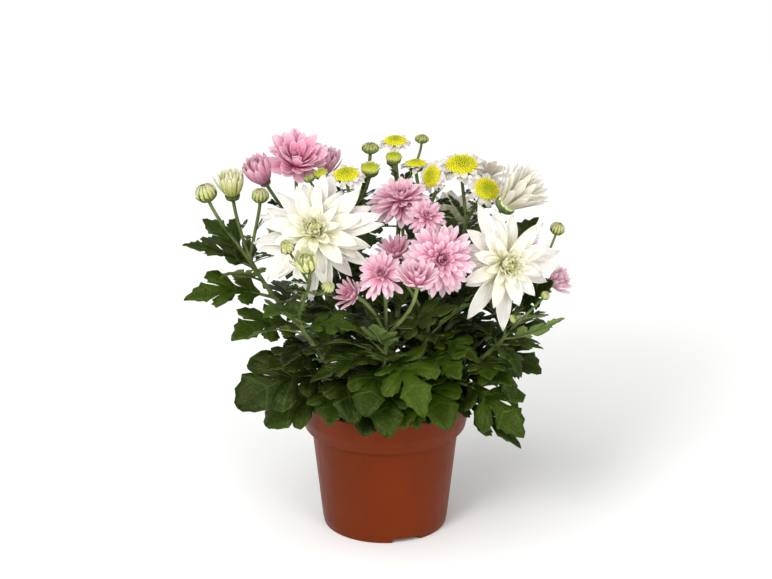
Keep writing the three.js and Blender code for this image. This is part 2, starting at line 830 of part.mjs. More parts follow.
// A flower's stalk and its green head as one body.
function stalkSolid(flower) {
  const bud = flower.kind === 'bud';
  const sides = bud ? 6 : 5;
  const axis = direction(flower.az, flower.el);
  const base = vector(flower.base);
  const profile = headProfile(flower);
  const neck = profile[0][0] - 0.4 * profile[0][1];
  const line = curvePoints(flower.curve, STEM.stalkSteps);
  line[line.length - 1] = along(base, axis, neck);
  for (const [height] of profile) {
    line.push(along(base, axis, height));
  }
  const thick = flower.r < 6 ? 0.85 : STEM.stalkRadius;
  const radii = line.map((point, i) => {
    const head = i - STEM.stalkSteps - 1;
    return head < 0 ? thick : profile[head][1];
  });
  const rings = tubeRings(line, radii, sides);
  if (bud) {
    rings[rings.length - 1] = [line[line.length - 1]];
  }
  return loft(rings);
}

function stemSolid(stem) {
  const bottom = new THREE.Vector3(stem.foot[0], stem.foot[1], SOIL.top - STEM.buried);
  const points = [bottom, ...curvePoints(stem.curve, STEM.steps)];
  const radii = points.map((point, i) => {
    const share = Math.max(i - 1, 0) / STEM.steps;
    return STEM.radius + (STEM.topRadius - STEM.radius) * share;
  });
  const solids = [loft(tubeRings(points, radii, STEM.sides))];
  stem.flowers.forEach((flower) => solids.push(stalkSolid(flower)));
  stem.blades.forEach((leaf) => solids.push(leafSolid(leaf)));
  return joinAll(solids);
}

// ---------------------------------------------------------------- blooms

// One petal: a keeled blade from the bloom's core to its tip.
function petalSolid(seat, azimuth, petal) {
  const angle = THREE.MathUtils.degToRad(azimuth);
  const out = along(seat.side.clone().multiplyScalar(Math.cos(angle)), seat.other, Math.sin(angle));
  const across = new THREE.Vector3().crossVectors(seat.axis, out);
  const spot = (share) => {
    const slope = THREE.MathUtils.degToRad(petal.rise - (petal.bend * share) / 2);
    const reach = petal.root + petal.length * share * Math.cos(slope);
    return along(along(seat.centre, out, reach), seat.axis, petal.length * share * Math.sin(slope));
  };
  const ring = (share, wide, thick) => {
    const slope = THREE.MathUtils.degToRad(petal.rise - petal.bend * share);
    const middle = spot(share);
    const normal = along(seat.axis.clone().multiplyScalar(Math.cos(slope)), out, -Math.sin(slope));
    const half = petal.width * wide * 0.5;
    return [along(middle, across, half), along(middle, normal, -thick), along(middle, across, -half)];
  };
  const rings = petal.stations.map((share) => ring(share, 1, 0.9));
  return loft([ring(0, 0.12, 0.7), ...rings, [spot(1)]]);
}

function bloomSeat(flower) {
  const axis = direction(flower.az, flower.el);
  const [side, other] = squareTo(axis);
  return { axis, side, other, centre: along(vector(flower.base), axis, CLEAR) };
}

// A low dome that the petals grow from, flat underneath.
function coreSolid(seat, radius, height, sides) {
  return loft([
    circle(seat.centre, seat.axis, radius, sides),
    circle(along(seat.centre, seat.axis, height * 0.6), seat.axis, radius * 0.86, sides),
    [along(seat.centre, seat.axis, height)],
  ]);
}

function bloomSolid(flower) {
  const seat = bloomSeat(flower);
  const core = flower.r * CORE[flower.kind];
  const height = core * 1.3 + 1.6;
  const solids = [coreSolid(seat, core, height, CORE.sides)];
  const raised = { ...seat, centre: along(seat.centre, seat.axis, 1.3) };
  PETALS[flower.kind].forEach((layer, k) => {
    const row = { ...raised, centre: along(raised.centre, seat.axis, k * height * 0.22) };
    for (let i = 0; i < layer.count; i += 1) {
      const uneven = i % 2 ? 3 : -3;
      solids.push(petalSolid(row, layer.turn + (i * 360) / layer.count, {
        root: core * 0.45,
        length: flower.r * layer.length - core * 0.45,
        width: flower.r * layer.width,
        rise: layer.rise + uneven,
        bend: layer.bend,
        stations: layer.stations,
      }));
    }
  });
  return joinAll(solids);
}

// A cup-shaped bloom: one crown of pointed petals around the closed ones in the middle.
function crownSolid(flower) {
  const seat = bloomSeat(flower);
  const shape = CROWN[flower.kind];
  const count = CROWN.petals * 2;
  const level = (tip, cut, inset) => {
    const ring = [];
    for (let i = 0; i < count; i += 1) {
      const [reach, height] = i % 2 ? cut : tip;
      const angle = (i / count) * Math.PI * 2;
      const out = flower.r * reach - inset;
      const lift = along(seat.centre, seat.axis, flower.r * height - inset * 0.4);
      const point = along(lift, seat.side, out * Math.cos(angle));
      ring.push(point.addScaledVector(seat.other, out * Math.sin(angle)));
    }
    return ring;
  };
  const [waistReach, waistHeight] = shape.waist;
  return loft([
    level([shape.foot, 0], [shape.foot, 0], 0),
    level([waistReach, waistHeight], [waistReach * 0.86, waistHeight], 0),
    level(shape.tip, shape.cut, 0),
    level(shape.tip, shape.cut, CROWN.thick),
    level(shape.inside, shape.inside, 0),
    [along(seat.centre, seat.axis, flower.r * shape.middle)],
  ]);
}

// The ring of short white rays: one thin plate, cut between the rays, flat where the disc rests on
// it and drooping towards the ray tips.
function raySolid(flower) {
  const seat = bloomSeat(flower);
  const outline = [[-0.5, RAYS.waist, 0], [-0.2, 1, 1], [0.2, 1, 1]];
  const level = (height, flat) => {
    const ring = [];
    for (let i = 0; i < RAYS.count; i += 1) {
      for (const [turn, share, droop] of outline) {
        const angle = ((i + turn) / RAYS.count) * Math.PI * 2;
        const reach = flower.r * (flat ? RAYS.flat : share);
        const fall = flat ? 0 : droop * RAYS.droop * flower.r;
        const middle = along(seat.centre, seat.axis, height - fall);
        const point = along(middle, seat.side, reach * Math.cos(angle));
        ring.push(point.addScaledVector(seat.other, reach * Math.sin(angle)));
      }
    }
    return ring;
  };
  return loft([level(0, true), level(0, false), level(RAYS.plate, false), level(RAYS.plate, true)]);
}

// The yellow dome of florets, with ribs of florets raised on it.
function discSolid(flower) {
  const seat = bloomSeat(flower);
  const foot = along(seat.centre, seat.axis, RAYS.plate + CLEAR);
  const wide = flower.r * DISC.radius;
  const tall = flower.r * DISC.height;
  const row = (lift, share, turn) => {
    const middle = along(foot, seat.axis, tall * lift);
    const ring = circle(middle, seat.axis, wide * share, DISC.sides * 2, turn);
    return ring.map((point, i) => (i % 2 ? point.lerp(middle, 0.1) : point));
  };
  return loft([row(0, 0.95, 0), row(0.6, 0.85, 1), [along(foot, seat.axis, tall)]]);
}

// A yellow bud that has begun to open in its green cup.
function cupSolid(flower) {
  const seat = bloomSeat(flower);
  const sides = 10;
  const row = (lift, share) => {
    const middle = along(seat.centre, seat.axis, flower.r * lift);
    const ring = circle(middle, seat.axis, flower.r * share, sides);
    return ring.map((point, i) => (i % 2 ? point.lerp(middle, 0.14) : point));
  };
  return loft([row(0, 0.8), row(0.8, 0.9), [along(seat.centre, seat.axis, flower.r * 1.1)]]);
}

// ---------------------------------------------------------------- the scene

const plant = new THREE.Group();

function addMesh(name, solid, colour, roughness) {
  const material = new THREE.MeshStandardMaterial({ color: colour, roughness, metalness: 0 });
  const mesh = new THREE.Mesh(toGeometry(solid), material);
  mesh.name = name;
  plant.add(mesh);
}

layOut();
addMesh('pot', potSolid(), COLOUR.pot, 0.55);
addMesh('soil', soilSolid(), COLOUR.soil, 0.95);
for (const stem of STEMS) {
  addMesh(`stem_${stem.name}`, stemSolid(stem), COLOUR.leaf, 0.7);
  for (const flower of stem.flowers) {
    if (flower.kind === 'button') {
      addMesh(`rays_${flower.name}`, raySolid(flower), COLOUR.white, 0.7);
      addMesh(`disc_${flower.name}`, discSolid(flower), COLOUR.yellow, 0.8);
    } else if (flower.kind === 'cup') {
      addMesh(`florets_${flower.name}`, cupSolid(flower), COLOUR.yellow, 0.8);
    } else if (CROWN[flower.kind]) {
      addMesh(`petals_${flower.name}`, crownSolid(flower), COLOUR[flower.colour], 0.7);
    } else if (flower.kind !== 'bud') {
      addMesh(`petals_${flower.name}`, bloomSolid(flower), COLOUR[flower.colour], 0.7);
    }
  }
}

export default plant;
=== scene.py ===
"""Pot chrysanthemum: a plastic pot, its soil and a dense bush with white, pink and button blooms.

Layout values are in millimetres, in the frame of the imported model, and each finished piece is
brought to metres at the end. Every piece stands for the plain solid whose place it takes.
"""

import math
import random
from types import SimpleNamespace

import bpy
import numpy as np
from mathutils import Matrix, Vector


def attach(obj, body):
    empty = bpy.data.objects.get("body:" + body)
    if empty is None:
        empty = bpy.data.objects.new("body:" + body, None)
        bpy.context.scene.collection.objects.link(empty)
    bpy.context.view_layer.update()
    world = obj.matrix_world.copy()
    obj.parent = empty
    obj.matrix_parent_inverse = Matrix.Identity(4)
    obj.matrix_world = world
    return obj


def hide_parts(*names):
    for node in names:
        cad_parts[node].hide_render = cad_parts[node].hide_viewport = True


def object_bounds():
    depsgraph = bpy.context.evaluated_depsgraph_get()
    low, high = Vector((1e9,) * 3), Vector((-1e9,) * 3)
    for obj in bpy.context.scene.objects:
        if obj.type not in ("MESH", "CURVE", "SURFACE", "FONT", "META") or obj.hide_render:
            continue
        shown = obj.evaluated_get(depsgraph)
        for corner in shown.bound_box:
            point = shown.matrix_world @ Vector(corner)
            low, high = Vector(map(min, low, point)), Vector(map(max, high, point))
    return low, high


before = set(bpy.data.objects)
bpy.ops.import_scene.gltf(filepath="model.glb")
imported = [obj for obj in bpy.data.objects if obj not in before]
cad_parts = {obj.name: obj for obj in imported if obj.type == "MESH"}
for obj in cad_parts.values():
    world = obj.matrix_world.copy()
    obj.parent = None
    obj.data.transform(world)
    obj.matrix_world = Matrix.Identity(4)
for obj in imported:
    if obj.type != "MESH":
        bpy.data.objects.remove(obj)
cad_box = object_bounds()

MM = 0.001
UP = np.array([0.0, 0.0, 1.0])
GOLDEN_ANGLE = 137.5

# --- driving dimensions

POT_HEIGHT = 96
RIM_RADIUS = 60
RIM_FOOT_RADIUS = 55.3
RIM_HEIGHT = 23.5
BODY_RADIUS = 50.4
FOOT_RADIUS = 42
WALL = 1.5
FLOOR_TOP = 4.5
PAD_RADIUS = 15
CHANNEL_RADIUS = 37
CHANNEL_HEIGHT = 2.6
NOTCH_HEIGHT = 3
NOTCH_CENTRE = 20.6
NOTCH_WIDTH = 30
DRAIN_RADIUS = 3
RIM_LOW = POT_HEIGHT - RIM_HEIGHT

SOIL_TOP = 89
SOIL_MOUND = 3
CRUMB_COUNT = 900
BURIED = 27
STEM_RADIUS = 2.3
STEM_TOP_RADIUS = 1.4
STALK_RADIUS = 1.15

LEAF_WIDTH = 0.62
LEAF_FOLD = 0.2
LEAF_LENGTH = 50
SPACE = 8.5
OWN_SPACE = 5
SAMPLE_STEP = 7
BOX_MARGIN = 3
LOWEST_LEAF = 97
# Added leaves lower than GAP_TOP stay off this round patch at the front left.
GAP_X = -40
GAP_Y = -34
GAP_RADIUS = 13
GAP_TOP = 114
HIGH_BUD = 245
THIN_STALK_RADIUS = 0.85
STEM_HAIRS = 60
STALK_HAIRS = 26
DISC_FLORETS = 150
CUP_FLORETS = 90
CENTRE_FLORETS = 30
VEIN_START = 0.2
VEIN_STEP = 0.1333
PETAL_STREAK = 0.3

POT_STEPS = 112
SOIL_STEPS = 96
CAMERA_TARGET = (0.0007, 0, 0.1706)
CAMERA_DISTANCE = 3.0
CAMERA_ELEVATION = 22.3
CAMERA_LENS = 206.3
CAMERA_SENSOR = 36


def direction(azimuth, elevation):
    a = math.radians(azimuth)
    e = math.radians(elevation)
    return np.array([math.sin(a) * math.cos(e), -math.cos(a) * math.cos(e), math.sin(e)])


def flower(kind, base, az, el, r, name=None, colour=None, t=1.0, on=None):
    return SimpleNamespace(kind=kind, base=np.array(base, float), axis=direction(az, el), r=r,
                           name=name, colour=colour, t=t, on=on)


def leaf(t, tip, roll, arch, width=LEAF_WIDTH):
    return dict(t=t, tip=np.array(tip, float), roll=roll, arch=arch, width=width)


def stem(name, foot, fork, extra, turn, flowers, leaves):
    return SimpleNamespace(name=name, foot=foot, fork=np.array(fork, float), extra=extra, turn=turn,
                           flowers=flowers, leaves=leaves)


# The plant's layout. Azimuth 0 is the front and grows to the right.
STEMS = [
    stem("left_buds", (-33, 3), (-90, 3, 189), 1, 150, [
        flower("half", (-103, 15, 233), -40, 82, 15, "white_tip_bud", "white"),
        flower("bud", (-119, 5, 234), -80, 72, 7.6, t=0.96), flower("bud", (-84, 0, 235), 20, 82, 6),
    ], [
        leaf(0.96, (-136, -14, 209), -15, 0.06, 0.42), leaf(0.88, (-124, 26, 212), -10, 0.08),
        leaf(0.74, (-136, -12, 168), -30, 0.1, 0.52), leaf(0.5, (-103, -44, 152), -25, 0.12),
    ]),
    stem("white_left", (-24, -24), (-57, -60, 172), 0, 0, [
        flower("white", (-46, -50, 230), -8, 40, 42, "white_left", "white"),
        flower("half", (-50, -101, 227), -25, 60, 12, "white_half_front", "white"),
        flower("bud", (-63, -98, 239), -20, 50, 5.2, t=0.72, on=1),
        flower("bud", (-38, -106, 214), 30, 55, 4.4, t=0.6, on=1),
    ], [
        leaf(0.3, (-99, -58, 108), -40, 0.16, 0.6), leaf(0.15, (-81, -40, 87), -30, 0.12),
        leaf(0.56, (-80, -66, 140), -20, 0.1), leaf(0.86, (-80, -86, 186), -10, 0.2),
        leaf(0.94, (-18, -74, 172), 25, 0.1), leaf(0.36, (-21, -88, 110), 0, 0.22),
    ]),
    stem("pink_back", (-20, 20), (-58, 26, 205), 2, 200, [
        flower("pink", (-60, 33, 247), 8, 64, 23, "pink_back", "deep_pink"),
        flower("half", (-81, 22, 240), -60, 62, 13, "pink_half_left", "deep_pink", t=0.94),
        flower("half", (-42, 60, 233), 60, 72, 12, "pink_half_right", "deep_pink", t=0.96),
    ], []),
    stem("button_left", (-7, 13), (-20, 14, 218), 2, 80, [
        flower("button", (-26, 8, 249), -20, 78, 12, "button_left"),
        flower("cup", (-43, 11, 250), -40, 70, 5, "cup_left"),
        flower("bud", (-50, 2, 248), -60, 70, 4, t=0.6, on=1),
        flower("cup", (-10, 28, 247), 0, 80, 7, "cup_middle"), flower("bud", (-10, 48, 251), 10, 84, 6),
    ], []),
    stem("button_top", (4, 27), (10, 50, 214), 2, 20, [
        flower("button", (7, 62, 253), 0, 86, 10.5, "button_top"),
        flower("cup", (6, 42, 250), -10, 80, 6, "cup_top"), flower("bud", (25, 60, 254), 30, 84, 4.8),
    ], []),
    stem("button_middle", (14, 10), (28, 26, 214), 1, 260, [
        flower("button", (21, 44, 243), 180, 84, 10, "button_middle"),
        flower("button", (33, 22, 244), -48, 26, 10.5, "button_side"),
    ], []),
    stem("button_right", (30, 14), (55, 28, 207), 2, 110, [
        flower("button", (52, 34, 246), 0, 74, 15, "button_big"),
        flower("button", (68, 14, 237), 25, 48, 12, "button_face"),
        flower("withered", (70, 56, 230), 40, 78, 15, "withered", "withered"),
    ], []),
    stem("pink_top", (2, -6), (13, -14, 196), 2, 300, [
        flower("pink", (11, -1, 233), -5, 76, 24, "pink_top", "pink"),
        flower("pink", (27, -41, 238), 18, 50, 15.5, "pink_top_right", "pink"),
    ], []),
    stem("pink_front", (-2, -30), (1, -60, 158), 0, 0, [
        flower("pink", (-2, -84, 215), -8, 38, 18, "pink_low", "pink"),
        flower("half", (-20, -80, 199), -50, 32, 11, "pink_bud", "pink", t=0.97),
        flower("half", (21, -109, 219), 5, 78, 17, "pink_half_front", "pink"),
    ], [
        leaf(0.84, (-50, -78, 136), -20, 0.08, 0.42), leaf(0.97, (-7, -90, 183), 0, -0.1),
        leaf(0.48, (-13, -92, 117), -5, 0.25), leaf(0.24, (2, -86, 99), 5, 0.3),
        leaf(0.12, (-14, -77, 96), -15, 0.2), leaf(0.62, (26, -105, 122), 22, 0.25, 0.66),
        leaf(0.93, (48, -74, 189), 30, 0.08, 0.45),
    ]),
    stem("pink_big", (17, -24), (29, -44, 162), 0, 340, [
        flower("pink", (36, -58, 216), 15, 20, 26, "pink_big", "pink"),
        flower("half", (7, -44, 213), -10, 68, 13, "pink_half_middle", "pink"),
    ], [
        leaf(0.62, (50, -80, 139), 20, 0.12), leaf(0.84, (64, -58, 141), 20, 0.12),
        leaf(0.2, (42, -78, 101), 10, 0.25), leaf(0.1, (21, -79, 102), 0, 0.2),
    ]),
    stem("white_right", (36, -16), (80, -44, 154), 0, 0, [
        flower("white", (78, -39, 206), 22, 15, 40, "white_right", "white"),
        flower("bud", (106, -44, 183), 50, 50, 3.2), flower("bud", (87, -62, 176), -70, -20, 2.8),
    ], [
        leaf(0.34, (93, -66, 90), 38, 0.12, 0.58), leaf(0.2, (92, -54, 77), 30, 0.06, 0.4),
        leaf(0.9, (107, -38, 143), 12, 0.08, 0.4), leaf(0.66, (90, -50, 96), 60, 0.42, 0.5),
        leaf(0.52, (84, -66, 128), 10, 0.1), leaf(0.98, (120, -46, 169), -50, -0.05, 0.45),
    ]),
    stem("pink_right", (38, 6), (92, -4, 160), 1, 60, [
        flower("half", (112, -6, 178), 70, 24, 12, "pink_bud_right", "pink"),
        flower("bud", (116, 12, 207), 60, 74, 5.2),
    ], [
        leaf(0.5, (106, -20, 117), 50, 0.12), leaf(0.92, (113, -24, 186), 60, 0.0),
    ]),
    stem("white_half", (24, -2), (66, -6, 190), 1, 30, [
        flower("half", (81, 0, 232), 78, 48, 31, "white_half", "white"),
    ], [
        leaf(0.94, (104, 14, 218), 20, 0.0), leaf(0.9, (62, -24, 226), 20, 0.0),
    ]),
    stem("back_left", (-14, 40), (-36, 66, 165), 4, 180, [
        flower("pink", (-44, 80, 190), 200, 42, 22, "pink_back_left", "pink"),
        flower("button", (-10, 92, 194), 180, 52, 12, "button_back"),
        flower("bud", (-74, 66, 186), 240, 60, 6),
    ], []),
    stem("back_right", (18, 40), (46, 66, 160), 4, 40, [
        flower("white", (44, 84, 186), 170, 36, 33, "white_back", "white"),
        flower("pink", (92, 56, 182), 125, 45, 20, "pink_back_right", "pink"),
    ], []),
]

# --- vectors and curves


def unit(vector):
    vector = np.asarray(vector, float)
    return vector / np.linalg.norm(vector, axis=-1, keepdims=True)


def square_to(axis):
    """Two unit vectors square to an axis."""
    guide = UP if abs(axis[2]) < 0.8 else np.array([0.0, 1.0, 0.0])
    side = unit(np.cross(guide, axis))
    return side, unit(np.cross(axis, side))


def turned(side, other, angle):
    """A direction turned from `side` towards `other` by an angle."""
    return side * math.cos(angle) + other * math.sin(angle)


def at(curve, t):
    """Points on a Bezier curve of three or four control points."""
    t = np.atleast_1d(t).astype(float)[:, None]
    s = 1 - t
    if len(curve) == 3:
        return s * s * curve[0] + 2 * s * t * curve[1] + t * t * curve[2]
    return (s ** 3 * curve[0] + 3 * s * s * t * curve[1]
            + 3 * s * t * t * curve[2] + t ** 3 * curve[3])


def run(curve, t):
    """Unit tangents of the same curve."""
    t = np.atleast_1d(t).astype(float)[:, None]
    s = 1 - t
    if len(curve) == 3:
        return unit(s * (curve[1] - curve[0]) + t * (curve[2] - curve[1]))
    return unit(s * s * (curve[1] - curve[0]) + 2 * s * t * (curve[2] - curve[1])
                + t * t * (curve[3] - curve[2]))


def main_curve(item):
    """A main stem: straight up out of the soil, then leaning over to its fork."""
    start = np.array([*item.foot, SOIL_TOP + 5.0])
    end = item.fork
    reach = end - start
    return [start, start + UP * 0.3 * reach[2], end - reach * np.array([0.25, 0.25, 0.35]), end]


def stalk_curve(parent, t, bloom):
    """A flower stalk: leaves along its parent's run and arrives along the flower's axis."""
    start = at(parent, t)[0]
    end = bloom.base
    reach = np.linalg.norm(end - start)
    first = start + run(parent, t)[0] * 0.15 * reach
    return [start, first, end - bloom.axis * min(0.4 * reach, 1.1 * bloom.r + 8), end]


def make_leaf(curve, t, tip, roll, arch, width=LEAF_WIDTH):
    root = at(curve, t)[0]
    size = np.linalg.norm(tip - root)
    middle = (root + tip) / 2 + UP * arch * size * 2
    blade = SimpleNamespace(path=[root, middle, tip], roll=roll, width=width, size=size)
    blade.samples = leaf_samples(blade)
    return blade


def leaf_frame(blade, u):
    """Points, lateral directions and upward normals of a leaf at the shares u of its length."""
    tangent = run(blade.path, u)
    level = unit(np.cross(tangent, UP))
    side = turned(level, np.cross(tangent, level), math.radians(blade.roll))
    return at(blade.path, u), side, np.cross(side, tangent)


def leaf_samples(blade):
    u = np.array([0.34, 0.47, 0.6, 0.73, 0.86, 1, 0.43, 0.43, 0.56, 0.56, 0.69, 0.69])
    lateral = np.array([0, 0, 0, 0, 0, 0, 1, -1, 1, -1, 1, -1]) * 0.34
    point, side, normal = leaf_frame(blade, u)
    reach = (lateral * blade.size * blade.width)[:, None]
    return point + side * reach + normal * np.abs(reach) * LEAF_FOLD


# --- layout of the whole plant


def curve_samples(curve):
    count = max(2, round(np.linalg.norm(curve[-1] - curve[0]) / SAMPLE_STEP))
    return at(curve, np.arange(count + 1) / count)


def bloom_samples(bloom):
    axis = bloom.axis
    sides = square_to(axis)
    closed = bloom.kind in ("half", "bud", "cup")
    r = bloom.r
    samples = [bloom.base, bloom.base + axis * r * (1 if closed else 0.4)]
    for share in [0.4] if closed else [0.5, 0.95]:
        count = 12 if share > 0.6 else 6
        lift = bloom.base + axis * r * (0.6 if closed else 0.25 * share)
        samples += [lift + turned(*sides, i / count * math.tau) * r * share for i in range(count)]
    return np.array(samples)


def is_clear(samples, taken, owner):
    for kind, name, points in taken:
        if kind == "stem" and name == owner:
            continue
        limit = OWN_SPACE if kind == "leaf" and name == owner else SPACE
        if nearest(points, samples) < limit:
            return False
    return True


def nearest(points, samples):
    return np.linalg.norm(points[:, None] - samples[None], axis=2).min()


def keep_leaf(item, blade, taken):
    if blade:
        item.blades.append(blade)
        taken.append(("leaf", item.name, blade.samples))


def place_leaf(item, index, taken):
    """A leaf at its golden-angle place, or beside it, shorter, and lower or higher."""
    share = (index + 0.5) / item.extra
    t = 0.25 + 0.7 * share
    azimuth = item.turn + index * GOLDEN_ANGLE
    root = at(item.curve, t)[0]
    for size in (1, 0.84, 0.7):
        for lift in (8, 26, -12):
            for turn in (0, 20, -20, 40, -40, 60, -60, 85, -85, 110, -110):
                reach = LEAF_LENGTH * size * (1.12 - 0.3 * share)
                blade = make_leaf(item.curve, t, root + direction(azimuth + turn, lift) * reach, 0, 0.1)
                if is_clear(blade.samples, taken, item.name):
                    return blade
    return None


def lay_out():
    taken = []
    for item in STEMS:
        name = item.name
        item.curve = main_curve(item)
        taken.append(("stem", name, curve_samples(item.curve)))
        for bloom in item.flowers:
            parent = item.curve if bloom.on is None else item.flowers[bloom.on].curve
            bloom.curve = stalk_curve(parent, bloom.t, bloom)
            taken.append(("stem", name, curve_samples(bloom.curve)[1:]))
            taken.append(("bloom", "", bloom_samples(bloom)))
        item.blades = [make_leaf(item.curve, **blade) for blade in item.leaves]
        taken += [("leaf", name, blade.samples) for blade in item.blades]
    for item in STEMS:
        for index in range(item.extra):
            keep_leaf(item, place_leaf(item, index, taken), taken)
    return taken


def box_clear(samples):
    low = np.array(cad_box[0]) / MM + BOX_MARGIN
    high = np.array(cad_box[1]) / MM - BOX_MARGIN
    return bool((samples > low).all() and (samples < high).all())


def over_gap(samples):
    """Whether a leaf would hang low over the patch at the front left."""
    low = samples[samples[:, 2] < GAP_TOP]
    return bool((np.hypot(low[:, 0] - GAP_X, low[:, 1] - GAP_Y) < GAP_RADIUS).any())


def roomiest_leaf(item, curve, t, taken, least, tries, draw):
    """The random leaf with the most room round it, if that is more than the least allowed."""
    others = [points for kind, name, points in taken if (kind, name) != ("stem", item.name)]
    best, room = None, least
    for _ in range(tries):
        reach, roll, arch, width = draw()
        blade = make_leaf(curve, t, at(curve, t)[0] + reach, roll, arch, width)
        samples = blade.samples
        low = curve is item.curve and (samples[:, 2].min() < LOWEST_LEAF or over_gap(samples))
        if low or not box_clear(samples):
            continue
        gap = min(nearest(points, samples) for points in others)
        if gap > room:
            best, room = blade, gap
    keep_leaf(item, best, taken)


def stalk_leaves(item, taken, rng):
    """Small narrow leaves low on the flower stalks."""
    for bloom in item.flowers:
        for t in (0.12, 0.34, 0.56):
            length = rng.uniform(13, 24) * (1.1 - 0.7 * t)

            def draw():
                way = direction(rng.uniform(0, 360), rng.uniform(0, 55))
                return way * length, rng.uniform(-20, 20), rng.uniform(0.0, 0.15), rng.uniform(0.4, 0.54)

            roomiest_leaf(item, bloom.curve, t, taken, 2.5, 8, draw)


def fill_foliage(taken, rng):
    """More leaves where a stem is bare. Each goes where the bush has the most room for it."""
    for item in STEMS:
        stalk_leaves(item, taken, rng)
    for item in STEMS:
        count = FOLIAGE[item.name]
        for index in range(count):
            t = 0.06 + 0.88 * (index + rng.random() * 0.6) / count

            def draw():
                way = direction(rng.uniform(0, 360), rng.uniform(-18, 34))
                reach = way * (rng.uniform(34, 56) * (1.12 - 0.3 * t))
                return reach, rng.uniform(-25, 25), rng.uniform(0.04, 0.22), rng.uniform(0.5, 0.7)

            roomiest_leaf(item, item.curve, t, taken, 1.8, 14, draw)


FOLIAGE = {"left_buds": 5, "white_left": 6, "pink_back": 9, "button_left": 10, "button_top": 10,
           "button_middle": 10, "button_right": 11, "pink_top": 11, "pink_front": 7, "pink_big": 7,
           "white_right": 9, "pink_right": 10, "white_half": 11, "back_left": 12, "back_right": 12}

# --- the workbench


def only(obj=None):
    """Selects one object, or nothing."""
    bpy.ops.object.select_all(action="DESELECT")
    if obj:
        obj.select_set(True)
        bpy.context.view_layer.objects.active = obj


def primitive(add, name, place=(0, 0, 0), **settings):
    only()
    add(location=place, **settings)
    obj = bpy.context.active_object
    obj.name = name
    return obj


def link(name, data, place=(0, 0, 0)):
    obj = bpy.data.objects.new(name, data)
    bpy.context.scene.collection.objects.link(obj)
    obj.location = place
    return obj


def clamp(value):
    return min(1, max(0, value))


def edit(obj, work):
    """Edit-mode operators on one object."""
    only(obj)
    bpy.ops.object.mode_set(mode="EDIT")
    work()
    bpy.ops.object.mode_set(mode="OBJECT")


def modify(obj, kind, **settings):
    """Adds a modifier and applies it."""
    only(obj)
    modifier = obj.modifiers.new(kind.title(), kind)
    for key, value in settings.items():
        setattr(modifier, key, value)
    bpy.ops.object.modifier_apply(modifier=modifier.name)


def points_of(obj):
    co = np.empty(len(obj.data.vertices) * 3)
    obj.data.vertices.foreach_get("co", co)
    return co.reshape(-1, 3)


def put_points(obj, co):
    obj.data.vertices.foreach_set("co", np.ascontiguousarray(co, dtype=np.float32).ravel())
    obj.data.update()


def smooth(obj):
    obj.data.polygons.foreach_set("use_smooth", np.ones(len(obj.data.polygons), bool))


def set_tone(obj, value):
    tone = obj.data.attributes.get("tone") or obj.data.attributes.new("tone", "FLOAT", "POINT")
    tone.data.foreach_set("value", np.full(len(obj.data.vertices), value, np.float32))


def materials(obj, *mats):
    obj.data.materials.clear()
    for mat in mats:
        obj.data.materials.append(mat)


class Pattern:
    """A shape modelled once, kept off the stage, that is copied with its points moved."""

    def __init__(self, obj):
        smooth(obj)
        set_tone(obj, 0.5)
        self.mesh = obj.data
        self.co = points_of(obj)
        bpy.data.objects.remove(obj)

    def copy(self, co, tone=0.5, mats=()):
        obj = link("copy", self.mesh.copy())
        put_points(obj, co)
        set_tone(obj, tone)
        if mats:
            materials(obj, *mats)
        return obj


def join(parts, name):
    only(parts[0])
    for part in parts:
        part.select_set(True)
    if len(parts) > 1:
        bpy.ops.object.join()
    parts[0].name = name
    parts[0].data.name = name
    return parts[0]


def finish_piece(parts, name, node):
    """Joins a piece, brings it to metres, hangs it on the root and hides the plain part whose place it
    takes.
    """
    obj = join(parts, name)
    obj.data.transform(Matrix.Scale(MM, 4))
    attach(obj, "root")
    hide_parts(node)


# --- finishes


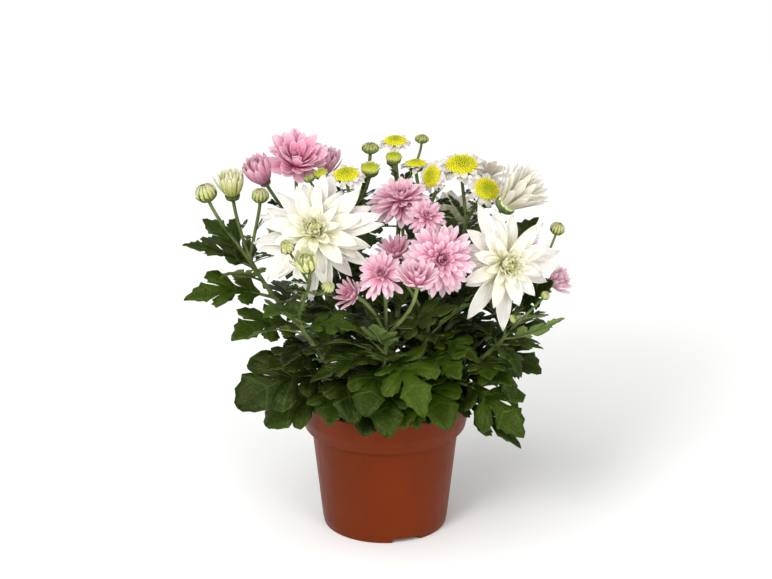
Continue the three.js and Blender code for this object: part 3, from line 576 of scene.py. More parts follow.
class Finish:
    """A material with its principled shader, and short calls that add and link nodes."""

    def __init__(self, name, roughness, **sockets):
        self.mat = bpy.data.materials.new(name)
        self.mat.use_nodes = True
        self.tree = self.mat.node_tree
        self.shader = self.tree.nodes["Principled BSDF"]
        self.shader.inputs["Roughness"].default_value = roughness
        for key, value in sockets.items():
            self.shader.inputs[key.replace("_", " ")].default_value = value

    def add(self, kind, **values):
        node = self.tree.nodes.new(kind)
        for key, value in values.items():
            setattr(node, key, value)
        return node

    def link(self, out, into):
        self.tree.links.new(out, into)

    def uv(self):
        node = self.add("ShaderNodeSeparateXYZ")
        self.link(self.add("ShaderNodeUVMap").outputs["UV"], node.inputs[0])
        return node.outputs["X"], node.outputs["Y"]

    def tone(self):
        return self.add("ShaderNodeAttribute", attribute_name="tone").outputs["Fac"]

    def place(self, source="Object", scale=(1, 1, 1)):
        node = self.add("ShaderNodeMapping")
        node.inputs["Scale"].default_value = scale
        coords = self.add("ShaderNodeTexCoord")
        self.link(coords.outputs[source], node.inputs["Vector"])
        return node.outputs["Vector"]

    def noise(self, scale, detail=2, vector=None):
        node = self.add("ShaderNodeTexNoise")
        self.feed([node.inputs[key] for key in ("Scale", "Detail", "Vector")],
                  (scale, detail, vector or self.place()))
        return node.outputs["Fac"]

    def feed(self, sockets, values):
        """Gives each socket its number, its screen colour or what a node puts out."""
        for socket, value in zip(sockets, values):
            if isinstance(value, (int, float)):
                socket.default_value = value
            elif isinstance(value, tuple):
                socket.default_value = linear(value)
            else:
                self.link(value, socket)

    def math(self, operation, *values):
        node = self.add("ShaderNodeMath", operation=operation)
        self.feed(node.inputs, values)
        return node.outputs[0]

    def blend(self, a, share_a, b, share_b):
        return self.math("ADD", self.math("MULTIPLY", a, share_a), self.math("MULTIPLY", b, share_b))

    def spread(self, value, low, high, to_low=0.0, to_high=1.0):
        node = self.add("ShaderNodeMapRange")
        self.feed(node.inputs[:5], (value, low, high, to_low, to_high))
        return node.outputs[0]

    def ramp(self, value, *stops):
        node = self.add("ShaderNodeValToRGB")
        ramp = node.color_ramp
        while len(ramp.elements) < len(stops):
            ramp.elements.new(0.5)
        for element, (place, colour) in zip(ramp.elements, stops):
            element.position = place
            element.color = linear(colour)
        self.link(value, node.inputs["Fac"])
        return node.outputs["Color"]

    def mix(self, share, a, b):
        node = self.add("ShaderNodeMix", data_type="RGBA")
        self.feed((node.inputs[0], node.inputs[6], node.inputs[7]), (share, a, b))
        return node.outputs[2]

    def colour(self, value):
        self.link(value, self.shader.inputs["Base Color"])

    def bump(self, height, strength, distance):
        node = self.add("ShaderNodeBump")
        self.feed([node.inputs[key] for key in ("Strength", "Distance", "Height")],
                  (strength, distance, height))
        self.link(node.outputs["Normal"], self.shader.inputs["Normal"])


def linear(colour):
    """An 8-bit screen colour as the linear values that a shader takes."""
    return (*[((c / 255 + 0.055) / 1.055) ** 2.4 if c > 10 else c / 3295 for c in colour], 1.0)


def pot_finish():
    f = Finish("satin terracotta plastic", 0.4, Specular_IOR_Level=0.12, Specular_Tint=(1.0, 0.7, 0.5, 1.0))
    scuffs = f.noise(260, 2, f.place(scale=(1, 1, 0.25)))
    base = f.ramp(f.noise(18, 3), (0.3, (92, 34, 9)), (0.7, (103, 39, 11)))
    f.colour(f.mix(f.spread(scuffs, 0.62, 0.8, 0, 0.25), base, (120, 48, 20)))
    f.link(f.spread(scuffs, 0.4, 0.7, 0.38, 0.5), f.shader.inputs["Roughness"])
    f.bump(f.noise(900, 2, f.place(scale=(0.05, 0.05, 1))), 0.12, 0.0002)
    return f.mat


def soil_finish():
    f = Finish("damp peat", 0.95)
    f.colour(f.ramp(f.noise(240, 5), (0.3, (18, 12, 8)), (0.55, (44, 30, 20)), (0.75, (78, 57, 38))))
    f.bump(f.noise(700, 4), 0.8, 0.001)
    return f.mat


def crumb_finish(name, dark, light):
    f = Finish(name, 0.9)
    shade = f.mix(f.tone(), dark, light)
    f.colour(f.mix(f.spread(f.noise(900, 3), 0.3, 0.7, 0, 0.5), shade, dark))
    f.bump(f.noise(1500, 3), 0.6, 0.0006)
    return f.mat


def stem_finish():
    f = Finish("downy green stem", 0.6, Specular_IOR_Level=0.15)
    base = f.ramp(f.noise(60, 3), (0.3, (66, 84, 36)), (0.7, (112, 127, 73)))
    down = f.noise(1700, 2, f.place(scale=(1, 1, 0.15)))
    f.colour(f.mix(f.spread(down, 0.55, 0.75, 0, 0.35), base, (138, 149, 102)))
    f.bump(down, 0.4, 0.0004)
    return f.mat


def leaf_finish(name, dark, light, vein_colour, vein_share, roughness, lift):
    """Leaf skin. The side veins leave the midrib in the sweep of the blade's own rows."""
    f = Finish(name, roughness, Specular_IOR_Level=0.26, Specular_Tint=(0.85, 1.0, 0.45, 1.0))
    along, across = f.uv()
    to_vein = f.math("PINGPONG", f.math("DIVIDE", f.math("SUBTRACT", along, VEIN_START), VEIN_STEP), 0.5)
    to_rib = f.math("ABSOLUTE", f.math("SUBTRACT", across, 0.5))
    vein = f.math("MAXIMUM", f.spread(to_vein, 0.015, 0.08, 0.6, 0), f.spread(to_rib, 0.004, 0.015, 1, 0))
    blade = f.ramp(f.blend(f.tone(), 0.7, f.noise(110, 4), 0.45), (0.15, dark), (0.95, light))
    blade = f.mix(f.spread(to_rib, 0.46, 0.5, 0, 0.2), blade, vein_colour)
    f.colour(f.mix(f.math("MULTIPLY", vein, vein_share), blade, vein_colour))
    cells = f.add("ShaderNodeTexVoronoi", feature="DISTANCE_TO_EDGE")
    cells.inputs["Scale"].default_value = 620
    f.link(f.place(), cells.inputs["Vector"])
    skin = f.blend(f.spread(cells.outputs["Distance"], 0.0, 0.2), 0.3, f.noise(210, 2), 1.4)
    f.bump(f.math("SUBTRACT", skin, f.math("MULTIPLY", vein, lift)), 0.7, 0.0007)
    return f.mat


def petal_finish(name, lifted, *stops, roughness=0.55):
    """Petal skin: colour along the petal, paler or greener by its layer, with fine grooves."""
    f = Finish(name, roughness, Subsurface_Weight=0.5, Subsurface_Scale=0.006,
               Subsurface_Radius=(1.0, 0.8, 0.7), Specular_IOR_Level=0.12, Sheen_Weight=0.04)
    along, across = f.uv()
    grain = f.noise(1, 3, f.place("UV", (3, 26, 1)))
    shift = f.math("ADD", along, f.math("MULTIPLY", f.math("SUBTRACT", grain, 0.5), PETAL_STREAK))
    f.colour(f.mix(f.tone(), f.ramp(shift, *stops), lifted))
    grooves = f.math("SINE", f.math("MULTIPLY", across, 44))
    f.bump(f.math("ADD", f.math("MULTIPLY", grooves, 0.45), grain), 0.5, 0.0004)
    return f.mat


def floret_finish(name, low, high):
    f = Finish(name, 0.7, Subsurface_Weight=0.1, Subsurface_Scale=0.002)
    grain = f.noise(1500, 2)
    f.colour(f.ramp(f.blend(f.tone(), 0.8, grain, 0.3), (0.1, low), (0.95, high)))
    f.bump(grain, 0.4, 0.0003)
    return f.mat


POT_PLASTIC = pot_finish()
PEAT = soil_finish()
BARK = crumb_finish("bark crumb", (52, 34, 20), (128, 94, 58))
PERLITE = crumb_finish("perlite grain", (178, 160, 118), (232, 220, 190))
STEM_GREEN = stem_finish()
LEAF_TOP = leaf_finish("leaf face", (4, 12, 1), (50, 70, 6), (84, 104, 34), 0.3, 0.34, 0.5)
LEAF_UNDER = leaf_finish("leaf underside", (62, 82, 36), (104, 124, 66), (136, 148, 94), 0.6, 0.7, -0.8)
WHITE = petal_finish(
    "cream white petal", (248, 250, 172),
    (0, (212, 220, 118)), (.22, (238, 235, 182)), (.5, (245, 238, 223)), (1, (248, 240, 229)))
WHITE_TIPPED = petal_finish(
    "white-tipped bud petal", (214, 222, 96),
    (0, (166, 184, 52)), (.45, (230, 233, 122)), (.8, (246, 243, 180)), (1, (250, 246, 214)))
PINK = petal_finish(
    "pink petal", (216, 104, 146),
    (0, (214, 102, 146)), (.3, (242, 150, 184)), (.7, (255, 192, 214)), (1, (255, 221, 231)))
DEEP_PINK = petal_finish(
    "deep pink petal", (198, 88, 126),
    (0, (190, 80, 114)), (.35, (232, 138, 172)), (.8, (246, 168, 196)), (1, (250, 194, 214)))
PALE = petal_finish(
    "faded petal", (176, 158, 116),
    (0, (186, 178, 124)), (.5, (228, 216, 188)), (1, (206, 180, 156)), roughness=0.75)
BUD_CREAM = petal_finish(
    "closed bud petal", (182, 196, 76),
    (0, (176, 192, 60)), (.4, (228, 231, 126)), (1, (252, 248, 194)))
BUD_GREEN = petal_finish(
    "closed button petal", (140, 158, 50),
    (0, (156, 172, 60)), (.55, (206, 210, 96)), (1, (232, 230, 140)))
YELLOW = floret_finish("yellow floret", (158, 172, 10), (246, 226, 18))
YELLOW_GREEN = floret_finish("young yellow floret", (120, 138, 14), (204, 196, 30))
TUFT = floret_finish("green-white floret", (222, 230, 124), (248, 248, 200))
PINK_TUFT = floret_finish("young pink floret", (112, 66, 62), (190, 106, 146))
DOWN = floret_finish("plant down", (200, 208, 170), (232, 236, 214))

# --- patterns


def grid(name, cells_along, cells_across):
    """A flat sheet with a UV map of its own, and its points' shares of the length and of the half width."""
    obj = primitive(bpy.ops.mesh.primitive_grid_add, name, size=1,
                    x_subdivisions=cells_along, y_subdivisions=cells_across)
    put_points(obj, points_of(obj) + np.array([0.5, 0, 0]))
    x, y, _ = points_of(obj).T
    return obj, x, y * 2


def smooth_line(knots, s):
    """A smooth line through rows of knots, read at the shares s of its length."""
    knots = np.array(knots, float)
    place = np.clip(s, 0, 1) * (len(knots) - 1)
    index = np.minimum(place.astype(int), len(knots) - 2)
    t = (place - index)[:, None]
    a, b, c, d = [knots[np.clip(index + k, 0, len(knots) - 1)] for k in (-1, 0, 1, 2)]
    return 0.5 * (2 * b + (c - a) * t + (2 * a - 5 * b + 4 * c - d) * t ** 2
                  + (3 * b - a - 3 * c + d) * t ** 3)


# Each leaf: how deep its teeth are, then two side lobes as (root on the midrib, place of the
# point along the leaf, its lateral reach, half width), the cut between them, the cut before the
# end lobe, and the edge of the end lobe.
OUTLINES = {
    "lobed": (0.75, (.3, .43, .43, .085), (.49, .13), (.46, .73, .48, .1), (.69, .14),
              [(.76, .22), (.8, .27), (.83, .21), (.89, .2), (.915, .125), (.97, .085)]),
    "broad": (0.4, (.28, .41, .42, .1), (.49, .17), (.46, .72, .49, .12), (.7, .19),
              [(.77, .3), (.825, .34), (.86, .29), (.925, .25), (.95, .165), (.99, .1)]),
    "narrow": (1.0, (.24, .4, .38, .09), (.47, .13), (.44, .7, .43, .105), (.67, .14),
               [(.74, .2), (.78, .24), (.81, .185), (.87, .17), (.895, .105), (.96, .065)]),
    "young": (0.7, (.32, .47, .4, .08), (.53, .15), (.5, .75, .43, .09), (.73, .16),
              [(.79, .23), (.82, .26), (.85, .205), (.9, .19), (.925, .12), (.972, .075)]),
}
LEAF_ROWS = 35
LEAF_COLUMNS = 4


def lobe_knots(tooth, root, place, reach, wide):
    """The edge of a side lobe: up one side over two teeth, round its point and back down."""
    side = [(.3, .6), (.5, .78), (.68, .97), (.745, .97 - .26 * tooth), (.87, .72),
            (.925, .7 - .36 * tooth)]
    edge = [(p, -q) for p, q in side] + [(1, 0)] + side[::-1]
    ribs = np.linspace(root - 0.012, root + 0.012, len(edge))
    return [(rib, root + p * (place - root) + q * wide, p * reach - q * wide * 0.75)
            for rib, (p, q) in zip(ribs, edge)]


def outline_knots(name):
    """Rows of a half blade: the place on the midrib, and the place and reach of the edge."""
    tooth, first, cut_one, second, cut_two, end = OUTLINES[name]
    start = first[0] - 0.03
    ribs = np.linspace(second[0] + 0.12, 0.93, len(end) + 1)
    knots = [(start - 0.04, start - 0.04, 0.035), *lobe_knots(tooth, *first)]
    knots += [((first[0] + second[0]) / 2, *cut_one), *lobe_knots(tooth, *second), (ribs[0], *cut_two)]
    return knots + [(rib, *point) for rib, point in zip(ribs[1:], end)] + [(1, 1, 0.012)]


def leaf_pattern(name, seed):
    """A blade from its outline: rows sweep from the midrib to the toothed edge, raised between
    the side veins, then given its thickness with the paler skin below."""
    rng = np.random.default_rng(seed)
    obj, s, t = grid(name, LEAF_ROWS, LEAF_COLUMNS)
    row = np.rint(s * LEAF_ROWS).astype(int)
    uneven = rng.normal(0, 0.006, (2, LEAF_ROWS + 1))[(t > 0).astype(int), row]
    knots = smooth_line(outline_knots(name), s)
    reach = np.abs(t)
    share = reach ** 0.92
    ends = np.clip(s * 8, 0, 1) * np.clip((1 - s) * 8, 0, 1)
    along = knots[:, 0] + (knots[:, 1] - knots[:, 0]) * share
    lateral = np.maximum(knots[:, 2] + uneven * ends * reach ** 4, 0.006) * share * np.sign(t)
    quilt = np.abs(np.sin(math.pi * (s - VEIN_START) / VEIN_STEP)) ** 0.7
    crinkle = np.sin(along * 31 + seed) * np.sin(lateral * 37 + 2 * seed) * 0.011
    relief = 0.018 * quilt * np.sqrt(reach) * (1 - reach ** 3) - 0.006 * (reach < 0.05) + crinkle * reach
    put_points(obj, np.column_stack([along, lateral, relief]))
    materials(obj, LEAF_TOP, LEAF_UNDER)
    modify(obj, "SOLIDIFY", thickness=0.009, offset=-1, material_offset=1, material_offset_rim=0)
    return Pattern(obj)


def petal_pattern(name, widths, blunt, notch, cells=(8, 4), spoon=0.0, crease=0.03):
    """A petal from its half widths: rounded or pointed, notched or plain, creased along its
    middle, with a tip that may curl up like a spoon."""
    obj, s, t = grid(name, *cells)
    half = smooth_line([(w,) for w in widths], s)[:, 0] * 0.5
    lengthwise = s - blunt * t ** 2 * s ** 4 + notch * np.cos(t * math.pi * 2.5) * s ** 6
    keel = crease * np.cos(t * math.pi * 2) * (1 - s * 0.4) + spoon * s ** 5
    put_points(obj, np.column_stack([lengthwise, half * t, keel]))
    modify(obj, "SOLIDIFY", thickness=0.02, offset=-1)
    return Pattern(obj)


def floret_pattern(name, rings, sides=5):
    """A small tube floret: a ring raised and drawn in or out step by step, closed at its top."""
    obj = primitive(bpy.ops.mesh.primitive_circle_add, name, (0, 0, rings[0][1]),
                    vertices=sides, radius=rings[0][0], fill_type="NGON")

    def raise_rings():
        bpy.ops.mesh.select_all(action="SELECT")
        for (r0, z0), (r1, z1) in zip(rings, rings[1:]):
            bpy.ops.mesh.extrude_region_move(TRANSFORM_OT_translate={"value": (0, 0, z1 - z0)})
            bpy.ops.transform.resize(value=(r1 / r0, r1 / r0, 1), center_override=(0, 0, 0))
        bpy.ops.mesh.select_all(action="SELECT")
        bpy.ops.mesh.normals_make_consistent(inside=False)

    edit(obj, raise_rings)
    return Pattern(obj)


def crumb_pattern(name, seed, squash):
    """A broken crumb: a coarse ball with its points pushed in and out and flattened."""
    rng = np.random.default_rng(seed)
    obj = primitive(bpy.ops.mesh.primitive_ico_sphere_add, name, subdivisions=1, radius=1)
    co = points_of(obj) * rng.uniform(0.65, 1.2, (len(obj.data.vertices), 1))
    put_points(obj, co * np.array(squash))
    return Pattern(obj)


LEAF = {name: leaf_pattern(name, seed) for seed, name in enumerate(OUTLINES)}
POINTED = petal_pattern("pointed petal", [.34, .54, .76, .93, 1, .97, .83, .56, .14], 0.05, 0, (10, 4),
                        crease=0.05)
STRAP = petal_pattern("strap petal", [.34, .44, .56, .7, .84, .95, 1, .97, .8], 0.12, 0.008, spoon=0.14)
ROUND = petal_pattern("round petal", [.3, .46, .66, .84, .96, 1, 1, .96, .78], 0.16, 0.01, (10, 4), 0.08)
QUILL = petal_pattern("quill petal", [.5, .62, .7, .78, .88, .97, 1, .96, .78], 0.14, 0.0, crease=0.012)
RAY = petal_pattern("short ray", [.6, .8, .95, 1, .9], 0.12, 0.05, (4, 4))
BRACT = petal_pattern("bract", [.7, .95, 1, .75, .2], 0.08, 0.0, (4, 2))
FLORET = floret_pattern("tube floret", [(.5, -.6), (.62, .1), (.66, .5), (.36, .86), (.12, .8)])
POINT_FLORET = floret_pattern("young floret", [(.45, -.4), (.6, .3), (.42, .9), (.1, 1.25)])
HAIR = floret_pattern("hair", [(.05, 0), (.012, 1)], 3)
BALL = Pattern(primitive(bpy.ops.mesh.primitive_uv_sphere_add, "round body",
                         segments=14, ring_count=9, radius=1))
CRUMBS = [crumb_pattern(f"crumb {k}", k, shape) for k, shape in
          enumerate([(1, 1, .7), (1.5, .7, .5), (.8, 1.1, .9)])]

# --- pot and soil


def spin_solid(name, profile, steps):
    """A closed body turned about the upright axis from its profile."""
    mesh = bpy.data.meshes.new(name)
    mesh.from_pydata([(r, 0, z) for r, z in profile], [(i, i + 1) for i in range(len(profile) - 1)], [])
    obj = link(name, mesh)

    def turn():
        bpy.ops.mesh.select_all(action="SELECT")
        bpy.ops.mesh.spin(steps=steps, angle=math.tau, center=(0, 0, 0), axis=(0, 0, 1))
        bpy.ops.mesh.select_all(action="SELECT")
        bpy.ops.mesh.remove_doubles(threshold=0.01)
        bpy.ops.mesh.normals_make_consistent(inside=False)

    edit(obj, turn)
    return obj


def cut(obj, tool):
    modify(obj, "BOOLEAN", operation="DIFFERENCE", object=tool, solver="EXACT")
    bpy.data.objects.remove(tool)


def notch_block(azimuth):
    """A cutting block through the foot ring, wider at the ground."""
    obj = primitive(bpy.ops.mesh.primitive_cube_add, "notch", size=2)
    x, y, z = points_of(obj).T[:, :, None]
    out = direction(azimuth, 0)
    half = NOTCH_WIDTH / 2 * math.pi / 180 * FOOT_RADIUS
    put_points(obj, out * np.where(x > 0, FOOT_RADIUS + 2, CHANNEL_RADIUS - 3)
               + np.array([-out[1], out[0], 0]) * y * half * np.where(z > 0, 0.82, 1)
               + UP * np.where(z > 0, NOTCH_HEIGHT, -1))
    return obj


def make_pot():
    """The pot's profile runs from under its base, up the outside, over the rim and down inside."""
    top, foot, body, neck, rim = POT_HEIGHT, FOOT_RADIUS, BODY_RADIUS, RIM_FOOT_RADIUS, RIM_RADIUS
    crease = top - RIM_HEIGHT * 0.66
    fold = neck + (rim - neck) * 0.34
    profile = [
        (0, 0), (PAD_RADIUS - 0.4, 0), (PAD_RADIUS, 0.2), (PAD_RADIUS + 1.2, CHANNEL_HEIGHT - 0.3),
        (PAD_RADIUS + 1.6, CHANNEL_HEIGHT), (CHANNEL_RADIUS - 0.4, CHANNEL_HEIGHT),
        (CHANNEL_RADIUS + 0.1, CHANNEL_HEIGHT - 0.3), (CHANNEL_RADIUS + 0.9, 0.2),
        (CHANNEL_RADIUS + 1.2, 0), (foot - 0.8, 0), (foot - 0.2, 0.25), (foot + 0.1, 0.9),
        (foot + 0.35, 3.4), (foot + 0.75, 4.2), (foot + 1.0, 6), (body - 0.35, RIM_LOW - 3.5),
        (body - 0.1, RIM_LOW - 0.8), (body + 0.5, RIM_LOW - 0.1), (neck - 0.8, RIM_LOW),
        (neck - 0.2, RIM_LOW + 0.2), (neck + 0.1, RIM_LOW + 0.9),
        (fold - 0.1, crease - 0.7), (fold + 0.35, crease + 0.2), (fold + 0.6, crease + 1.2),
        (rim - 0.25, top - 1.6), (rim, top - 0.8), (rim - 0.15, top - 0.25), (rim - 0.7, top),
        (rim - 1.25, top - 0.25), (rim - WALL, top - 0.9), (neck - WALL + 0.1, RIM_LOW + WALL + 0.6),
        (neck - WALL - 0.6, RIM_LOW + WALL), (body - WALL, RIM_LOW + WALL), (foot - WALL, FLOOR_TOP),
        (0, FLOOR_TOP),
    ]
    pot = spin_solid("plastic_pot", profile, POT_STEPS)
    for k in range(3):
        cut(pot, notch_block(NOTCH_CENTRE + k * 120))
    for k in range(4):
        spot = direction(k * 90 + 90, 0) * (PAD_RADIUS + CHANNEL_RADIUS) / 2 + UP * FLOOR_TOP / 2
        cut(pot, primitive(bpy.ops.mesh.primitive_cylinder_add, "drain", tuple(spot),
                           vertices=24, radius=DRAIN_RADIUS, depth=10))
    materials(pot, POT_PLASTIC)
    only(pot)
    bpy.ops.object.shade_smooth_by_angle(angle=math.radians(32))
    finish_piece([pot], "plastic_pot", "pot")


def soil_height(x, y):
    reach = np.hypot(x, y) / RIM_FOOT_RADIUS
    lumps = np.sin(x * 0.43 + 1.3) * np.sin(y * 0.39 + 0.4) + 0.5 * np.sin(x * 0.9 - y * 0.8)
    return SOIL_TOP + SOIL_MOUND * (1 - reach ** 2) + 1.1 * lumps


def make_soil():
    rng = np.random.default_rng(11)
    gap = WALL + 0.5
    edge = RIM_FOOT_RADIUS - gap + (RIM_RADIUS - RIM_FOOT_RADIUS) / RIM_HEIGHT * (SOIL_TOP - 3 - RIM_LOW)
    walls = [(0, FLOOR_TOP + 0.3), (FOOT_RADIUS - gap, FLOOR_TOP + 0.3),
             (BODY_RADIUS - gap, RIM_LOW + WALL + 0.3), (RIM_FOOT_RADIUS - gap, RIM_LOW + WALL + 0.3),
             (edge, SOIL_TOP - 3)]
    rows = 26
    top = [(edge * (1 - i / rows), SOIL_TOP) for i in range(1, rows + 1)]
    bed = spin_solid("bed", walls + top, SOIL_STEPS)
    co = points_of(bed)
    high = co[:, 2] > SOIL_TOP - 4
    x, y = co[high, 0], co[high, 1]
    clods = 0.8 * np.sin(x * 1.7 + 2 * np.sin(y * 0.7)) * np.sin(y * 1.5) + rng.normal(0, 0.35, high.sum())
    co[high, 2] = soil_height(x, y) + clods
    put_points(bed, co)
    smooth(bed)
    set_tone(bed, 0.5)
    materials(bed, PEAT)
    parts = [bed]
    for k in range(CRUMB_COUNT):
        angle = rng.uniform(0, math.tau)
        reach = edge * math.sqrt(rng.uniform(0, 0.97))
        x, y = reach * math.cos(angle), reach * math.sin(angle)
        pale = rng.random() < 0.3
        size = rng.uniform(0.6, 1.5) if pale else rng.uniform(0.8, 2.6)
        turn = (Matrix.Rotation(rng.uniform(0, math.tau), 3, "Z")
                @ Matrix.Rotation(rng.uniform(-0.6, 0.6), 3, "X"))
        size = min(size, edge - reach + 0.4)
        pattern = CRUMBS[k % 3]
        co = pattern.co @ np.array(turn).T * size + np.array([x, y, soil_height(x, y) + size * 0.35])
        parts.append(pattern.copy(co, rng.random(), [PERLITE if pale else BARK]))
    finish_piece(parts, "soil_bed", "soil")


# --- leaves and stems


def leaf_copy(blade, rng):
    """A blade bent along its own path, folded on its midrib, with waved edges."""
    if blade.width < 0.55:
        kind = "narrow"
    elif blade.size < 32:
        kind = "young"
    else:
        kind = rng.choice(["lobed", "broad"] if blade.path[2][2] < 125 else ["lobed", "lobed", "narrow"])
    u, lateral, relief = LEAF[kind].co.T
    point, side, normal = leaf_frame(blade, u)
    size = blade.size
    reach = lateral * size * blade.width
    wave = rng.uniform(0.015, 0.05) * np.sin(
        u * rng.uniform(9, 15) + rng.uniform(0, 6) + np.sign(lateral) * 0.8)
    curl = -rng.uniform(0.0, 0.3) * lateral ** 2 * 2
    fold = LEAF_FOLD * rng.uniform(0.5, 1.5)
    rise = np.abs(reach) * fold + size * (relief + wave * np.abs(lateral) * 2 + curl * 0.25)
    co = point - side * reach[:, None] + normal * rise[:, None]
    return LEAF[kind].copy(co, np.clip(rng.gauss(0.42, 0.28), 0, 1))


class Line:
    """Round stems and stalks of one piece: splines with a radius at each end."""

    def __init__(self):
        self.obj = primitive(bpy.ops.curve.primitive_bezier_curve_add, "line")
        self.data = self.obj.data
        self.data.splines.clear()
        self.data.bevel_depth = 1
        self.data.bevel_resolution = 3
        self.data.use_fill_caps = True

    def add(self, curve, radii, steps=14):
        if len(curve) == 3:
            a, q, d = curve
            curve = [a, a + (q - a) * 2 / 3, d + (q - d) * 2 / 3, d]
        a, b, c, d = curve
        spline = self.data.splines.new("BEZIER")
        spline.resolution_u = steps
        spline.bezier_points.add(1)
        ends = ((a * 2 - b, a, b), (c, d, d * 2 - c))
        for point, places, radius in zip(spline.bezier_points, ends, radii):
            point.handle_left_type = point.handle_right_type = "FREE"
            point.handle_left, point.co, point.handle_right = places
            point.radius = radius

    def mesh(self):
        only(self.obj)
        bpy.ops.object.convert(target="MESH")
        obj = bpy.context.active_object
        smooth(obj)
        set_tone(obj, 0.5)
        materials(obj, STEM_GREEN)
        return obj


def seat_of(bloom, lift=0.3):
    """A bloom's middle, its axis and two directions square to it."""
    side, other = square_to(bloom.axis)
    centre = bloom.base + bloom.axis * lift
    return SimpleNamespace(axis=bloom.axis, side=side, other=other, centre=centre)


def petal_copy(pattern, seat, azimuth, root, lift, length, width, rise, bend,
               trough=0.1, twist=0.0, tone=0.0, mats=(), sway=0.0):
    """A petal from the bloom's middle: it rises at `rise` degrees over the bloom's plane and
    bends outwards by `bend` degrees along its length, hollowed across and twisted."""
    x, y, z = pattern.co.T[:, :, None]
    axis = seat.axis
    out = turned(seat.side, seat.other, math.radians(azimuth))
    across = np.cross(axis, out)
    middle = np.radians(rise - bend * x / 2)
    slope = np.radians(rise - bend * x)
    normal = axis * np.cos(slope) - out * np.sin(slope)
    turn = math.radians(twist) * x
    lateral = across * np.cos(turn) + normal * np.sin(turn)
    upward = normal * np.cos(turn) - across * np.sin(turn)
    hollow = trough * (2 * y) ** 2 * (1 - 0.7 * x ** 3)
    co = (seat.centre + out * (root + length * x * np.cos(middle))
          + axis * (lift + length * x * np.sin(middle)) + lateral * y * width
          + upward * (z + hollow) * width + across * sway * length * x ** 2)
    return pattern.copy(co, tone, mats)


def ring_of(pattern, seat, rng, count, length, width, rise, bend, root, lift,
            trough=0.1, tone=0.0, mats=(), turn=0.0, loose=1.0):
    """One layer of petals side by side, each a little different."""
    return [petal_copy(
        pattern, seat, turn + i * 360 / count + rng.gauss(0, 4) * loose, root, lift,
        length * rng.uniform(1 - 0.13 * loose, 1 + 0.03 * loose), width * rng.uniform(0.82, 1.12),
        rise + rng.gauss(0, 4) * loose, bend + rng.gauss(0, 7) * loose,
        trough * rng.uniform(0.6, 1.5), rng.gauss(0, 12) * loose,
        clamp(tone + rng.gauss(0, 0.06)), mats, rng.gauss(0, 0.03) * loose) for i in range(count)]


def cup_radius(bloom):
    kind, r = bloom.kind, bloom.r
    if kind in ("button", "cup"):
        return r * {"button": 0.5, "cup": 0.8}[kind]
    if kind in ("half", "withered"):
        return max(r * 0.2 + 0.4, r * (HALF[bloom.name][1][0][6] + 0.06))
    return r * {"white": 0.17, "pink": 0.2}[kind] + 0.6


def body_copy(pattern, seat, radius, low, high, tone, mats):
    """A round body on the seat, from `low` under it to `high` over it."""
    x, y, z = pattern.co.T[:, :, None]
    co = (seat.centre + seat.side * x * radius + seat.other * y * radius
          + seat.axis * z * np.where(z > 0, high, low))
    return pattern.copy(co, tone, mats)


def hug_copy(pattern, seat, azimuth, radius, tall, start, end, width, off, tone, mats, flare=0.0):
    """A bract or petal laid on a round body from `start` to `end` degrees up from its foot."""
    x, y, z = pattern.co.T[:, :, None]
    axis = seat.axis
    out = turned(seat.side, seat.other, math.radians(azimuth))
    up = np.radians(start + (end - start) * x)
    wide = radius * (1 + off) + flare * radius * x ** 3
    curl = 0.5 * width * (2 * y) ** 2 * width / (2 * radius)
    normal = out * np.sin(up) - axis * np.cos(up)
    co = (seat.centre + out * wide * np.sin(up) - axis * tall * (1 + off) * np.cos(up)
          + np.cross(out, axis) * y * width + normal * (z * width * 0.5 - curl))
    return pattern.copy(co, tone, mats)


def hug_ring(pattern, seat, rng, count, radius, tall, start, end, width, off, tone, mats,
             turn=0.0, flare=0.0):
    return [hug_copy(
        pattern, seat, turn + i * 360 / count + rng.gauss(0, 3), radius, tall, start, end + rng.gauss(0, 4),
        width * rng.uniform(0.9, 1.1), off + rng.uniform(0, 0.03), clamp(tone + rng.gauss(0, 0.08)),
        mats, flare) for i in range(count)]


def make_head(bloom, rng):
    """The green cup under a bloom with its rows of bracts, or a closed bud."""
    green = [STEM_GREEN]
    r = bloom.r
    if bloom.kind != "bud":
        seat = seat_of(bloom, 0)
        wide = cup_radius(bloom)
        low = wide * (0.95 if bloom.kind == "cup" else 0.75)
        parts = [body_copy(BALL, seat, wide * 0.97, low, 0.3, 0.5, green)]
        for start, end, count, off in ((25, 88, 8, 0.02), (40, 100, 9, 0.05), (55, 110, 9, 0.09)):
            parts += hug_ring(BRACT, seat, rng, count, wide, low, start, end, wide * 0.6, off, 0.5,
                              green, turn=start)
        return parts
    seat = seat_of(bloom, 0.7 * r)
    flat = bloom.base[2] > HIGH_BUD
    wide, tall = r * 0.92, r * (0.55 if flat else 0.8)
    skin = [BUD_GREEN if flat else BUD_CREAM]
    parts = [body_copy(BALL, seat, wide * 0.86, tall, tall * 0.72, 0.9, skin)]
    for count, reach, start, end, width, off, tone, turn, flare in (
            (13, 1, 45, 146, 0.36, 0.05, 0.0, 0, 0.1), (11, 0.9, 60, 156, 0.32, 0.02, 0.2, 20, 0),
            (8, 0.76, 90, 168, 0.28, 0.0, 0.4, 7, 0)):
        parts += hug_ring(QUILL, seat, rng, count, wide * reach, tall, start, end, wide * width, off, tone,
                          skin, turn, flare)
    high = 30 if flat else 0
    for start, end, count, off in ((8, 56, 6, 0.04), (16, 74, 8, 0.07), (30, 88, 9, 0.1)):
        parts += hug_ring(BRACT, seat, rng, count, wide, tall, start, end + high, wide * 0.62, off, 0.5,
                          green, start)
    return parts


